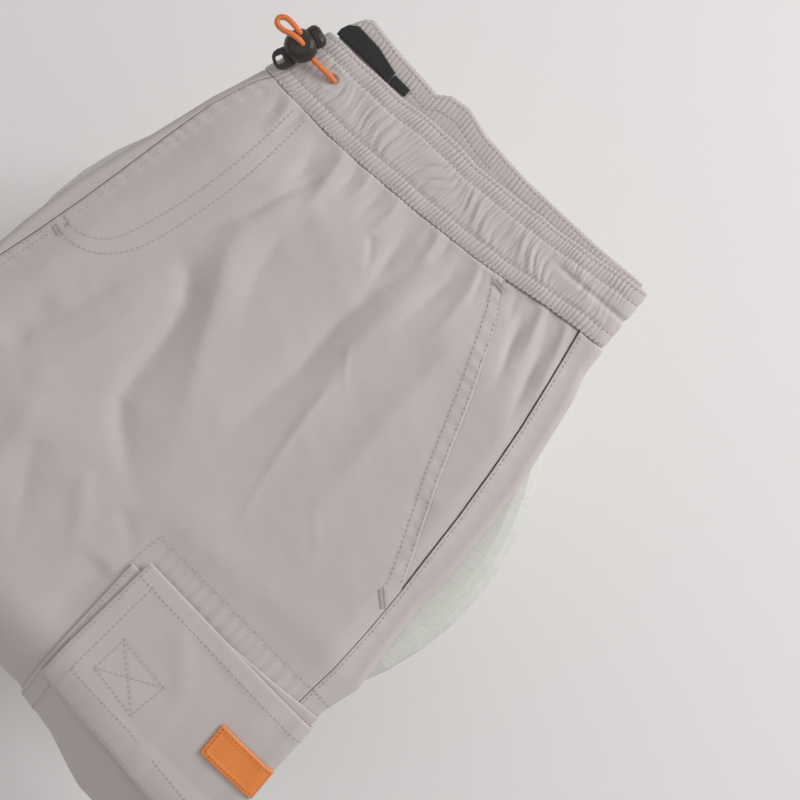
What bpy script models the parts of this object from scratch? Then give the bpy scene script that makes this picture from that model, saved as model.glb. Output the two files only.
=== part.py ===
"""Combat shorts folded in half along the centre front, lying on a plain round stand.

The waist and the seat lie flat on the stand, and the legs bend over its rim and hang
in front of it. Sizes are in millimetres on the cloth: a runs across from the centre
front to the side, d runs down from the waistband seam, h is the height over the
stand's top, and g is a run of cloth round the section, from one fold to the other.
"""

import math

import bpy
import numpy as np

MM = 0.001
GAP = 0.3
WALL = 1.2

# The stand
STAND_RADIUS = 147.0
STAND_HEIGHT = 240.0
STAND_ROUNDING = 10.0
STAND_FOOT_ROUNDING = 2.0
STAND_SEGMENTS = 48

# Where the folded cloth lies on it
CLOTH_CENTRE_A = 103.0
CLOTH_CENTRE_D = 134.0
HEM = 475.0
CROTCH = 235.0

# Outline of the folded body, in mm
# columns: d, left outline, centre seam, side seam, right outline, stack, lift at right
STATIONS = (
    (0, 1.0, 7.0, 202.0, 217.5, 11.5, 0.0),
    (15, -5.0, -2.5, 204.5, 218.0, 11.0, 0.0),
    (28, -10.5, -7.0, 206.5, 222.0, 10.5, 0.0),
    (55, -19.5, -14.0, 210.5, 226.0, 9.5, 0.0),
    (80, -28.0, -19.8, 213.0, 229.5, 9.0, 0.0),
    (107, -36.5, -26.2, 215.0, 230.5, 9.0, 0.0),
    (134, -42.5, -33.6, 216.0, 231.0, 9.0, 0.0),
    (155, -46.0, -40.0, 217.0, 229.5, 9.0, 0.0),
    (180, -54.0, -49.0, 217.0, 230.5, 9.0, 0.6),
    (205, -62.5, -59.0, 216.0, 232.0, 9.6, 3.6),
    (222, -69.0, -66.5, 214.0, 226.5, 10.2, 4.4),
    (235, -73.0, -71.0, 213.0, 223.5, 10.4, 4.4),
    (262, -70.0, -68.0, 212.0, 223.0, 10.4, 4.4),
    (290, -66.5, -64.5, 211.5, 222.5, 10.4, 4.4),
    (330, -63.0, -61.0, 211.0, 222.0, 10.4, 4.4),
    (405, -57.0, -55.0, 210.5, 221.5, 10.2, 4.4),
    (425, -55.5, -53.5, 210.5, 222.5, 9.0, 1.0),
    (475, -52.0, -50.0, 210.0, 224.0, 8.0, 0.0),
)
# Sag of the waistband seam below its straight line: a, d
SEAM_SAG = (
    (0, 0.6), (20, 3.5), (40, 5.5), (60, 7.0), (100, 7.2), (140, 6.0), (160, 4.4), (180, 2.0), (200, 0.5),
    (217, 0.0),
)
# Edge of the slanted hand pocket: d, a
POCKET_EDGE = (
    (0, 157.5), (5.6, 159.5), (21.4, 168.0), (61.0, 183.0), (103.0, 197.0), (136.0, 210.0), (153.5, 216.6),
)
POCKET_END = 153.5

# The line where the cloth starts to bend over the rim: a, d of the line, radius
BEND_LINE = (
    (-80, 271, 30), (60, 272, 30), (100, 275, 30), (130, 280, 33), (158, 288, 36), (200, 292, 38),
    (240, 295.8, 39.9),
)

# Rows of the panels from waist to hem
ROWS = (
    0, 8, 17, 30, 45, 62, 80, 98, 116, 135, 154, 168, 184, 200, 214, 228, 241, 254, 265,
    274, 283, 292, 301, 310, 319, 328, 342, 372, 405, 440, 475,
)
ARCS = (22.5, 45.0, 67.5, 90.0, 112.5, 135.0, 157.5, 180.0)

# Folds in the top layer: height, half width, then the a, d points of the line they follow
FOLDS = (
    (-3.2, 6.0, ((40.5, 6), (48, 31), (33, 67), (20, 88))),
    (-4.6, 11.0, ((24, 92), (40, 116), (46, 159), (57, 176), (84, 190), (104, 206))),
    (-3.4, 7.0, ((137, 7), (122.5, 47), (121, 88), (117, 113), (111, 152), (112, 181))),
    (-2.0, 5.0, ((72, 3.5), (68, 55), (83.5, 127))),
    (2.4, 10.0, ((58, 34), (66, 96), (82.5, 162))),
    (1.8, 8.0, ((98, 30), (100, 90), (96, 150))),
    (2.2, 13.0, ((160, 40), (160, 110), (166, 185))),
    (-4.0, 5.5, ((180, 14), (191, 38), (203, 78), (209, 106))),
    (-1.6, 6.0, ((-4, 150), (-14, 190), (-40, 225))),
    (-3.0, 9.0, ((97, 235), (94, 262), (92, 285))),
    (1.6, 12.0, ((20, 190), (26, 240), (20, 300))),
    (-2.2, 12.0, ((50, 300), (52, 380), (46, 475))),
    (2.2, 14.0, ((10, 320), (12, 400), (10, 475))),
    (-1.8, 10.0, ((-28, 330), (-26, 400), (-24, 475))),
)
TUCKS = 14
TUCK_DEPTH = 0.9
PUFF = 5.2

# The waistband
BAND_LEFT = ((-52, 20.5), (-34, 13.0), (0, 0.0), (8, -1.0))
BAND_TOP = (
    (0, -33.6), (13, -33.6), (61, -31.0), (83, -32.5), (111, -29.5), (146, -30.0), (181, -32.0), (216, -35.6),
)
BAND_RIGHT = 216.5
BAND_STACK = 12.0
BAND_WALL = 3.0
BAND_GATHERS = 80
GATHER_HEIGHT = 1.1
BACK_BAND_TOP = (
    (8, -7.0), (13, -19.5), (17.6, -31.5), (18.4, -42.0), (23, -49.5), (27, -52), (46, -48), (66, -45.2),
    (74, -44.0),
    (80, -48.0), (90.5, -49), (106, -44), (134, -40), (161.5, -38.5), (183, -37.4), (212, -37.5),
)
BACK_RIBS = 44
RIB_HEIGHT = 0.7
BACK_BAND_LOW = 3.4
BACK_BAND_HIGH = 8.6

# The cargo pocket
FLAP_TOP_LEFT = (114.0, 221.5)
FLAP_LOW_LEFT = (107.0, 290.6)
FLAP_TOP_SLOPE = 0.112
FLAP_LOW_SLOPE = 0.188
FLAP_UNDER = 44.0
FLAP_WALL = 1.3
POCKET_TOP = 228.0
POCKET_LOW = 405.0
POCKET_LEFT = ((226, 107.5), (290, 104.5), (405, 103.0))
POCKET_UNDER = 40.0
POCKET_OFF = 0.5
FLAP_OFF = 2.5

# The rubber patch on the flap: across and down from its upper left corner
PATCH_LEFT = 191.8
PATCH_TOP = 259.0
PATCH_HEIGHT = 18.0
PATCH_SLOPE = 0.115
PATCH_THICKNESS = 1.2

# The cord and its lock
CORD_DIAMETER = 2.8
CORD_ROUTE = (
    (30.0, -16.0, 14.3), (28.0, -16.1, 15.0), (24.6, -16.3, 15.7), (20.5, -16.6, 16.6), (16.5, -16.9, 18.0),
    (13.4, -17.4, 20.4), (11.6, -18.0, 23.6), (10.2, -18.4, 26.6), (7.6, -18.6, 28.9), (3.3, -18.2, 29.6),
    (-0.6, -17.2, 29.5), (-4.4, -17.4, 29.1), (-6.2, -19.2, 29.0), (-5.6, -21.4, 29.1), (-2.8, -22.7, 29.3),
    (1.5, -22.4, 29.3), (4.2, -21.9, 28.6), (5.8, -21.6, 26.6), (6.6, -21.4, 23.6),
)
LOCK_CENTRE = (9.2, -17.7, 20.8)
LOCK_RADIUS = 8.4
LOCK_HALF_HEIGHT = 6.6
BORE_EXTRA = 0.35
LUG_CENTRE = (6.2, -8.4, 16.6)
BUTTON_CENTRE = (11.9, -25.1, 20.8)


def clear_scene():
    for thing in list(bpy.data.objects):
        bpy.data.objects.remove(thing, do_unlink=True)


def material(name, colour, roughness, metallic=0.0):
    made = bpy.data.materials.new(name)
    made.use_nodes = True
    shader = made.node_tree.nodes["Principled BSDF"]
    shader.inputs["Base Color"].default_value = (*colour, 1.0)
    shader.inputs["Roughness"].default_value = roughness
    shader.inputs["Metallic"].default_value = metallic
    made.diffuse_color = (*colour, 1.0)
    return made


def along(table, x, column=1):
    """A column of a table, read at x."""
    return np.interp(x, [row[0] for row in table], [row[column] for row in table])


def station(d, column):
    return along(STATIONS, d, column)


def ease(x, low, high):
    """A soft step from 0 at low to 1 at high."""
    t = np.clip((np.asarray(x, float) - low) / (high - low), 0.0, 1.0)
    return t * t * (3.0 - 2.0 * t)


def away_from(a, d, line):
    """Distance from each point to a line of points, and how far along the line it lies."""
    best = np.full(np.shape(a), 1e9)
    for (a0, d0), (a1, d1) in zip(line[:-1], line[1:]):
        run_a, run_d = a1 - a0, d1 - d0
        t = ((a - a0) * run_a + (d - d0) * run_d) / (run_a**2 + run_d**2)
        t = np.clip(t, 0.0, 1.0)
        best = np.minimum(best, np.hypot(a - a0 - t * run_a, d - d0 - t * run_d))
    return best


def folds(a, d):
    """Height of the top layer over the flat stack."""
    a, d = np.broadcast_arrays(np.asarray(a, float), np.asarray(d, float))
    left = station(d, 1)
    right = station(d, 4)
    edges = ease(a - left, 3.0, 30.0) * ease(right - a, 5.0, 24.0)
    body = PUFF * (0.35 + 0.65 * ease(d, 0.0, 45.0)) * (1.0 - 0.5 * ease(d, 190.0, 235.0))
    height = body + 0.0 * a
    for rise, width, line in FOLDS:
        height = height + rise * np.exp(-((away_from(a, d, line) / width) ** 2))
    tucks = TUCK_DEPTH * np.cos(2.0 * math.pi * TUCKS * (a - 10.0) / 200.0) * (1.0 - ease(d, 6.0, 34.0))
    height = height + tucks
    pocket = ease(a, 98.0, 112.0) * ease(d, 196.0, 222.0) * (1.0 - ease(d, 405.0, 430.0))
    height = height * (1.0 - pocket) + 2.4 * pocket
    return np.maximum(height, 0.15) * edges


def bend(a, d, h):
    """World position in mm of a point of the cloth."""
    a, d, h = np.broadcast_arrays(*(np.asarray(value, float) for value in (a, d, h)))
    line = along(BEND_LINE, a, 1)
    radius = along(BEND_LINE, a, 2)
    past = np.maximum(d - line, 0.0)
    turn = np.minimum(past / radius, math.pi / 2.0)
    down = np.maximum(past - radius * math.pi / 2.0, 0.0)
    x = a - CLOTH_CENTRE_A
    y = CLOTH_CENTRE_D - np.minimum(d, line)
    over = np.maximum(np.hypot(x, y) - STAND_RADIUS - 2.0, 0.0)
    drop = over**2 / 260.0 * ease(-y, -20.0, 60.0)
    flute = 3.2 * np.sin(a / 24.0 + 0.6) * ease(down, 0.0, 110.0) * (1.0 - ease(a, 150.0, 195.0))
    y = y - (radius + h) * np.sin(turn) - flute
    z = STAND_HEIGHT + GAP + h * np.cos(turn) - radius * (1.0 - np.cos(turn)) - down - drop
    return np.stack([x, y, z], axis=-1)


def section(g, d, off, left, right, stack, lift, height=None):
    """Across and up, for a run of cloth g round the folded section, off outside its skin."""
    radius_left = stack / 2.0
    radius_right = (stack - lift) / 2.0
    start = left + radius_left
    end = right - radius_right
    top = stack + off
    if height is not None:
        top = top + height
    a = np.clip(g, start, end)
    h = top + 0.0 * a
    for side, edge, radius, base in ((-1.0, start, radius_left, 0.0), (1.0, end, radius_right, lift)):
        run = side * (g - edge)
        turn = np.clip(run / radius, 0.0, math.pi)
        under = np.maximum(run - math.pi * radius, 0.0)
        on_edge = run > 0.0
        a = np.where(on_edge, edge + side * ((radius + off) * np.sin(turn) - under), a)
        h = np.where(on_edge, base + radius + (radius + off) * np.cos(turn), h)
    return a, h


def skin(g, d, off):
    """World points of the body's cloth, off outside its skin."""
    g, d, off = np.broadcast_arrays(*(np.asarray(value, float) for value in (g, d, off)))
    left, right = station(d, 1), station(d, 4)
    stack, lift = station(d, 5), station(d, 6)
    height = folds(np.clip(g, left + stack / 2.0, right - (stack - lift) / 2.0), d)
    a, h = section(g, d, off, left, right, stack, lift, height)
    return bend(a, d, h)


def body(name, points, faces, paint, smooth=True):
    """One closed body with its faces outwards, from points in mm."""
    points = np.asarray(points, float)
    volume = 0.0
    for face in faces:
        first = points[face[0]]
        for i in range(1, len(face) - 1):
            volume += np.dot(first, np.cross(points[face[i]], points[face[i + 1]]))
    if volume < 0.0:
        faces = [tuple(reversed(face)) for face in faces]
    mesh = bpy.data.meshes.new(name)
    places = [tuple(point * MM) for point in points]
    mesh.from_pydata(places, [], [tuple(int(i) for i in face) for face in faces])
    mesh.update()
    for polygon in mesh.polygons:
        polygon.use_smooth = smooth
    made = bpy.data.objects.new(name, mesh)
    made.data.materials.append(paint)
    bpy.context.scene.collection.objects.link(made)
    return made


def wall(name, outer, inner, paint):
    """A closed body between two grids of points with the same columns. The inner grid may have fewer rows."""
    rows, columns = outer.shape[:2]
    inner_rows = inner.shape[0]
    base = rows * columns
    faces = []
    for r in range(rows - 1):
        for c in range(columns - 1):
            i = r * columns + c
            faces.append((i, i + 1, i + columns + 1, i + columns))
    for r in range(inner_rows - 1):
        for c in range(columns - 1):
            i = base + r * columns + c
            faces.append((i, i + columns, i + columns + 1, i + 1))
    last, inner_last = (rows - 1) * columns, base + (inner_rows - 1) * columns
    for c in range(columns - 1):
        faces.append((c, base + c, base + c + 1, c + 1))
        faces.append((last + c, last + c + 1, inner_last + c + 1, inner_last + c))
    for c, turned in ((0, False), (columns - 1, True)):
        if inner_rows == rows:
            for r in range(rows - 1):
                here = r * columns + c
                below = here + columns
                face = (here, below, base + below, base + here)
                faces.append(face[::-1] if turned else face)
        else:
            face = [r * columns + c for r in range(rows)]
            face += [base + r * columns + c for r in reversed(range(inner_rows))]
            faces.append(tuple(face[::-1]) if turned else tuple(face))
    points = np.concatenate([outer.reshape(-1, 3), inner.reshape(-1, 3)])
    return body(name, points, faces, paint)


def loft(name, rings, paint):
    """A closed body through rings of points, closed flat at both ends."""
    count = rings.shape[1]
    faces = []
    for r in range(rings.shape[0] - 1):
        for c in range(count):
            i, j = r * count + c, r * count + (c + 1) % count
            faces.append((i, j, j + count, i + count))
    faces.append(tuple(reversed(range(count))))
    faces.append(tuple((rings.shape[0] - 1) * count + c for c in range(count)))
    return body(name, rings.reshape(-1, 3), faces, paint)


def row_depth(a, row):
    """Depth of a panel row at a: the first rows follow the sag of the waistband seam."""
    sag = along(SEAM_SAG, a)
    return row + (sag + GAP / 2.0) * max(0.0, 1.0 - row / 60.0)


def panel(name, rows, run_of_row, paint, off=0.0, thickness=WALL):
    """A wall of cloth on the body's skin: run_of_row gives the runs of cloth g of one row."""
    outer, inner = [], []
    for row in rows:
        g = np.asarray(run_of_row(row), float)
        d = row_depth(g, row)
        outer.append(skin(g, d, off))
        inner.append(skin(g, d, off - thickness))
    return wall(name, np.array(outer), np.array(inner), paint)


def left_start(d):
    return station(d, 1) + station(d, 5) / 2.0


def right_end(d):
    return station(d, 4) - (station(d, 5) - station(d, 6)) / 2.0


def left_arc(d, degrees):
    """Run of cloth at an angle round the left fold."""
    return left_start(d) - station(d, 5) / 2.0 * math.radians(degrees)


def right_arc(d, degrees):
    """Run of cloth at an angle round the right fold."""
    return right_end(d) + (station(d, 5) - station(d, 6)) / 2.0 * math.radians(degrees)


def front_left_edge(d):
    """The centre seam above the crotch, and the inseam round the fold's edge below it."""
    seam = max(station(d, 2), left_arc(d, 15.0))
    return seam + (left_arc(d, 62.0) - seam) * float(ease(d, CROTCH - 6.0, CROTCH + 16.0))


def front_right_edge(d):
    seam = max(station(d, 2), left_arc(d, 15.0)) - GAP
    return seam + (left_arc(d, 118.0) - seam) * float(ease(d, CROTCH - 6.0, CROTCH + 16.0))


def front_left_right_edge(d):
    if d < POCKET_END:
        return min(float(along(POCKET_EDGE, d)), station(d, 3) - GAP)
    return station(d, 3) - GAP / 2.0


def front_left(paint):
    across = np.linspace(0.0, 1.0, 26)

    def run(row):
        low, high = front_left_edge(row), front_left_right_edge(row)
        return low + (high - low) * across

    return panel("front_left", ROWS, run, paint)


def under_columns(d):
    """Where the columns of the hidden underside lie across the body."""
    left, right = station(d, 1), station(d, 4)
    start = left + station(d, 5) / 2.0
    return [start + (right - 60.0 - start) * share for share in (0.0, 0.12, 0.32, 0.54, 0.77, 1.0)]


def front_right(paint):
    def run(row):
        edge = front_right_edge(row)
        runs = [edge]
        for i, angle in enumerate((30, 60, 90, 120, 150)):
            # Each column keeps its place in line where the edge has passed round the fold.
            runs.append(min(left_arc(row, angle), edge - 0.3 * (i + 1)))
        under = left_arc(row, 180.0)
        columns = under_columns(row)
        return runs + [under - (a - columns[0]) for a in columns]

    return panel("front_right", ROWS, run, paint)


def back_left(paint):
    def run(row):
        low = station(row, 3) + GAP / 2.0
        end = right_end(row)
        first = min(low + 1.0, end)
        runs = [low, (low + end) / 2.0, end] if low < end - 1.0 else [low, low + 0.5, low + 1.0]
        if low >= end - 1.0:
            runs = [min(value, end) if i else low for i, value in enumerate(runs)]
            runs[1] = (runs[0] + end) / 2.0
            runs[2] = end
        runs += [right_arc(row, angle) for angle in ARCS]
        runs += [right_arc(row, 180.0) + 8.0, right_arc(row, 180.0) + 20.0]
        return runs if first <= end else sorted(runs)

    return panel("back_left", ROWS, run, paint)


def pocket_facing(paint):
    rows = [row for row in ROWS if row <= 168]

    def run(row):
        low = float(along(POCKET_EDGE, row)) - 11.0
        high = station(row, 3) - GAP
        return low + (high - low) * np.linspace(0.0, 1.0, 7)

    return panel("pocket_facing", rows, run, paint, off=-WALL - 0.7, thickness=0.8)


def inner_layers(paint):
    """The hidden back panels and the right leg, one rounded solid with stepped edges."""
    rings = []
    for row in ROWS:
        d = float(np.clip(row, 10.5, HEM - 3.0))
        left, right = station(d, 1), station(d, 4)
        stack, lift = station(d, 5), station(d, 6)
        inset = WALL + GAP + 0.1
        high = stack - 3.3
        low = inset
        low_right = lift + inset
        reach = left + inset + 0.8
        ring = []
        # The left edge steps out and in, as three layers of cloth.
        steps = (
            (0.0, 2.4), (0.14, 0.4), (0.27, 0.0), (0.34, 1.2), (0.41, 0.0),
            (0.59, 0.0), (0.66, 1.2), (0.73, 0.0), (0.86, 0.4), (1.0, 2.4),
        )
        for share, depth in steps:
            ring.append((reach + depth, low + (high - low) * share))
        for share in (0.1, 0.28, 0.46, 0.62, 0.77):
            ring.append((left + (right - left) * share, high))
        ring.append((right - 28.0, high))
        middle = (low_right + high) / 2.0
        half = (high - low_right) / 2.0
        edge = right - inset - 0.4
        for angle in (90, 45, 0, -45, -90):
            turn = math.radians(angle)
            ring.append((edge - half + half * math.cos(turn), middle + half * math.sin(turn)))
        ring.append((right_end(d) - 20.0, low_right))
        ring.append((right - 50.0, low_right))
        for column in reversed(under_columns(d)[1:]):
            ring.append((column, low))
        a = np.array([point[0] for point in ring])
        h = np.array([point[1] for point in ring])
        rings.append(bend(a, np.full(a.shape, d), h))
    return loft("inner_layers", np.array(rings), paint)


def band_columns():
    """Runs of cloth of the front waistband as shares: a valley and a crest for each gather."""
    return np.linspace(0.0, 1.0, BAND_GATHERS * 2 + 1)


def band_front(paint):
    radius = BAND_STACK / 2.0
    # Rows: share of the band's height from its seam, and how far the gathers stand there
    rows = ((0.0, 1.0), (0.2, 0.35), (0.5, 0.85), (0.78, 0.35), (0.89, 1.0), (1.0, 0.8))
    shares = band_columns()
    outer, inner = [], []
    for number, (share, strength) in enumerate(rows):
        arcs = np.radians([180, 150, 120, 90, 60, 30])
        probe = -34.0 * share
        left = along(BAND_LEFT, probe)
        low, high = left + radius, BAND_RIGHT - radius
        # The loose channel between the stitch rows has its wrinkles set at a slant.
        slant = 2.4 * math.sin(math.pi * share)
        top_g = low + (high - low) * shares
        gather = np.cos(2.0 * math.pi * BAND_GATHERS * shares + slant)
        uneven = 0.65 + 0.35 * np.sin(37.0 * shares + 2.0 * share) * np.cos(11.0 * shares + 5.0 * share)
        ends = np.minimum(1.0, np.minimum(shares, 1.0 - shares) / 0.015)
        raised = GATHER_HEIGHT * 0.5 * (1.0 + gather * uneven) * strength * ends
        first = [low - math.pi * radius - 14.0]
        last = [high + math.pi * radius + 14.0]
        g = np.concatenate([first, low - radius * arcs, top_g, high + radius * arcs[::-1], last])
        raised = np.concatenate([np.zeros(7), raised, np.zeros(7)])
        reach = np.clip(g, left, BAND_RIGHT)
        seam = along(SEAM_SAG, reach) - GAP / 2.0
        d = seam + (along(BAND_TOP, reach) - seam) * share
        a, h = section(g, d, raised, left, BAND_RIGHT, BAND_STACK, 0.0)
        outer.append(bend(a, d, h))
        if number in (0, len(rows) - 1):
            a, h = section(g, d, np.full(g.shape, -BAND_WALL), left, BAND_RIGHT, BAND_STACK, 0.0)
            inner.append(bend(a, d, h))
    return wall("waistband_front", np.array(outer), np.array(inner), paint)


def back_band_height(a):
    """Top of the ribbed inner face of the back waistband."""
    ribs = 0.5 + 0.5 * np.cos(2.0 * math.pi * (BACK_RIBS - 0.5) * (a - 18.5) / 192.5)
    return BACK_BAND_HIGH - RIB_HEIGHT + RIB_HEIGHT * ribs


def band_back(paint):
    rings = []
    for a in (8.0, 13.0, 17.6, *np.linspace(18.5, 211.0, BACK_RIBS * 2)):
        top = float(along(BACK_BAND_TOP, a))
        seam = float(along(SEAM_SAG, a)) - 1.0
        seam = min(seam, top + 200.0)
        high = float(back_band_height(a))
        low = BACK_BAND_LOW
        split = (low + high) / 2.0
        profile = (
            (seam, low), (top + 0.6, low), (top, low + 0.7), (top, split - 0.5), (top + 1.2, split),
            (top, split + 0.5), (top, high - 0.5), (top + 0.8, high), (seam, high),
        )
        d = np.array([point[0] for point in profile])
        h = np.array([point[1] for point in profile])
        rings.append(bend(np.full(d.shape, a), d, h))
    return loft("waistband_back", np.array(rings), paint)


def flat_piece(name, left, right, columns, edge_top, edge_low, base, thickness, paint, rows=4):
    """A thin piece lying on the inside of the back waistband."""
    outer, inner = [], []
    a = np.linspace(left, right, columns)
    for share in np.linspace(0.0, 1.0, rows):
        d = along(edge_low, a) + (along(edge_top, a) - along(edge_low, a)) * share
        outer.append(bend(a, d, np.full(a.shape, base + thickness)))
        inner.append(bend(a, d, np.full(a.shape, base)))
    return wall(name, np.array(outer), np.array(inner), paint)


def flap_depth(g, share):
    """Depth of the flap's point at a run of cloth g, share of its way down."""
    top = FLAP_TOP_LEFT[1] + FLAP_TOP_SLOPE * (g - FLAP_TOP_LEFT[0])
    low = FLAP_LOW_LEFT[1] + FLAP_LOW_SLOPE * (g - FLAP_LOW_LEFT[0])
    return top + (low - top) * share


def flap_off(d):
    """The flap stands off the pocket a little more towards its free edge."""
    return FLAP_OFF + 1.6 * ease(d, 262.0, 308.0)


def flap_run(share):
    left = FLAP_TOP_LEFT[0] + (FLAP_LOW_LEFT[0] - FLAP_TOP_LEFT[0]) * share
    d = flap_depth(220.0, share)
    end = float(right_end(d))
    flat = np.linspace(left, end, 15)
    arcs = [right_arc(d, angle) for angle in ARCS]
    under = right_arc(d, 180.0)
    return np.concatenate([flat, arcs, [under + FLAP_UNDER * 0.5, under + FLAP_UNDER]])


def under_share(g, d):
    """0 on the top of the fold and 1 under it."""
    return ease(g, right_arc(d, 60.0), right_arc(d, 170.0))


def cargo_flap(paint):
    outer, inner = [], []
    for share in np.linspace(0.0, 1.0, 11):
        g = flap_run(share)
        d = flap_depth(g, share)
        off = flap_off(d) * (1.0 - under_share(g, d)) + 2.35 * under_share(g, d)
        outer.append(skin(g, d, off + FLAP_WALL))
        inner.append(skin(g, d, off))
    return wall("cargo_flap", np.array(outer), np.array(inner), paint)


def cargo_pocket(paint):
    rows = [row for row in ROWS if POCKET_TOP <= row <= POCKET_LOW]
    outer, inner = [], []
    for row in rows:
        left = float(along(POCKET_LEFT, row))
        end = float(right_end(row))
        inset = 3.0 if row == POCKET_LOW else 0.0
        side = float(station(row, 3)) + GAP / 2.0
        flat = np.concatenate([np.linspace(left + inset, side, 15), [(side + end) / 2.0, end]])
        arcs = [right_arc(row, angle) for angle in ARCS]
        under = right_arc(row, 180.0)
        g = np.concatenate([flat, arcs, [under + (POCKET_UNDER - inset) * 0.5, under + POCKET_UNDER - inset]])
        puffed = 2.2 * ease(row, 310.0, 350.0) * (1.0 - ease(row, 380.0, 405.0))
        puffed = puffed * ease(g, left, left + 22.0) * (1.0 - ease(g, end - 12.0, end + 4.0))
        outer.append(skin(g, np.full(g.shape, float(row)), POCKET_OFF + WALL + puffed))
        inner.append(skin(g, np.full(g.shape, float(row)), np.full(g.shape, POCKET_OFF)))
    return wall("cargo_pocket", np.array(outer), np.array(inner), paint)


def flap_tab(paint):
    """The rubber patch, with a rim raised round a plain field, turned a little round the fold."""
    down = (0.0, 0.1, 0.17, 0.5, 0.83, 0.9, 1.0)
    outer, inner = [], []
    for j, share in enumerate(down):
        middle = PATCH_TOP + PATCH_SLOPE * 14.0 + PATCH_HEIGHT * share
        end = float(right_end(middle))
        flat = PATCH_LEFT + (end - PATCH_LEFT) * np.array((0.0, 0.07, 0.12, 0.4, 0.7, 1.0))
        g = np.concatenate([flat, [right_arc(middle, angle) for angle in (22.5, 40.0, 45.0, 55.0)]])
        d = PATCH_TOP + PATCH_SLOPE * (g - PATCH_LEFT) + PATCH_HEIGHT * share
        off = flap_off(d) + FLAP_WALL + 0.5
        inside = (np.arange(len(g)) > 1) & (np.arange(len(g)) < len(g) - 2)
        sunk = np.where(inside, 0.35, 0.0) * (1 < j < len(down) - 2)
        outer.append(skin(g, d, off + PATCH_THICKNESS - sunk))
        inner.append(skin(g, d, off))
    return wall("flap_tab", np.array(outer), np.array(inner), paint)


def smooth_route(points, count):
    """Points evenly along a smooth curve through the given ones."""
    points = np.array(points, float)
    padded = np.vstack([2 * points[0] - points[1], points, 2 * points[-1] - points[-2]])
    fine = []
    for i in range(1, len(padded) - 2):
        p0, p1, p2, p3 = padded[i - 1 : i + 3]
        for t in np.linspace(0.0, 1.0, 16, endpoint=False):
            square = 2 * p0 - 5 * p1 + 4 * p2 - p3
            cube = 3 * p1 - p0 - 3 * p2 + p3
            fine.append(0.5 * (2 * p1 + (p2 - p0) * t + square * t**2 + cube * t**3))
    fine.append(points[-1])
    fine = np.array(fine)
    length = np.concatenate([[0.0], np.cumsum(np.linalg.norm(np.diff(fine, axis=0), axis=1))])
    even = np.linspace(0.0, length[-1], count)
    return np.stack([np.interp(even, length, fine[:, k]) for k in range(3)], axis=-1)


def cord_points(count=26):
    route = smooth_route(CORD_ROUTE, count)
    return bend(route[:, 0], route[:, 1], route[:, 2])


def drawcord(paint):
    points = cord_points() * MM
    curve = bpy.data.curves.new("drawcord", "CURVE")
    curve.dimensions = "3D"
    curve.bevel_depth = CORD_DIAMETER / 2.0 * MM
    curve.bevel_resolution = 2
    curve.use_fill_caps = True
    spline = curve.splines.new("POLY")
    spline.points.add(len(points) - 1)
    for point, place in zip(spline.points, points):
        point.co = (*place, 1.0)
    made = bpy.data.objects.new("drawcord", curve)
    curve.materials.append(paint)
    bpy.context.scene.collection.objects.link(made)
    return made


def tube_cutter(name, points, radius):
    """A round tube along the points, as a helper that only cuts."""
    points = np.asarray(points, float)
    ahead = np.gradient(points, axis=0)
    ahead /= np.linalg.norm(ahead, axis=1)[:, None]
    side = np.cross(ahead[0], (0.0, 0.0, 1.0))
    side /= np.linalg.norm(side)
    rings = []
    for place, run in zip(points, ahead):
        side = side - run * np.dot(side, run)
        side /= np.linalg.norm(side)
        other = np.cross(run, side)
        turns = np.arange(12) * math.pi / 6.0
        ring = [place + radius * (math.cos(t) * side + math.sin(t) * other) for t in turns]
        rings.append(ring)
    made = loft(name, np.array(rings), bpy.data.materials[0])
    return helper(made)


def helper(made):
    made.hide_render = True
    made.display_type = "WIRE"
    return made


def change(made, other, operation):
    step = made.modifiers.new(operation.lower(), "BOOLEAN")
    step.operation = operation
    step.solver = "EXACT"
    step.object = other


def revolve(name, centre, profile, paint, segments=24):
    """A turned body. The profile holds radius and height over the centre, from the bottom up."""
    points = [(centre[0], centre[1], centre[2] + profile[0][1])]
    rings = profile[1:-1]
    for radius, up in rings:
        for i in range(segments):
            turn = 2.0 * math.pi * i / segments
            x = centre[0] + radius * math.cos(turn)
            y = centre[1] + radius * math.sin(turn)
            points.append((x, y, centre[2] + up))
    points.append((centre[0], centre[1], centre[2] + profile[-1][1]))
    faces = []
    for i in range(segments):
        j = (i + 1) % segments
        faces.append((0, 1 + j, 1 + i))
        for r in range(len(rings) - 1):
            k = 1 + r * segments
            faces.append((k + i, k + j, k + j + segments, k + i + segments))
        k = 1 + (len(rings) - 1) * segments
        faces.append((k + i, k + j, len(points) - 1))
    return body(name, points, faces, paint)


def block(name, outline, low, high, paint):
    """An upright block over an outline of a, d points."""
    count = len(outline)
    a = np.array([point[0] for point in outline], float)
    d = np.array([point[1] for point in outline], float)
    rings = np.array([bend(a, d, np.full(count, low)), bend(a, d, np.full(count, high))])
    return loft(name, rings, paint)


def turned_outline(centre, half_long, half_wide, corner, degrees):
    """A rounded rectangle about a centre, turned in the plane of the cloth."""
    points = []
    turn = math.radians(degrees)
    for quarter, (sx, sy) in enumerate(((1, 1), (-1, 1), (-1, -1), (1, -1))):
        for step in range(4):
            angle = math.radians(90.0 * quarter + 30.0 * step)
            u = sx * (half_long - corner) + corner * math.cos(angle)
            v = sy * (half_wide - corner) + corner * math.sin(angle)
            x = centre[0] + u * math.cos(turn) - v * math.sin(turn)
            y = centre[1] + u * math.sin(turn) + v * math.cos(turn)
            points.append((x, y))
    return points


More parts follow.
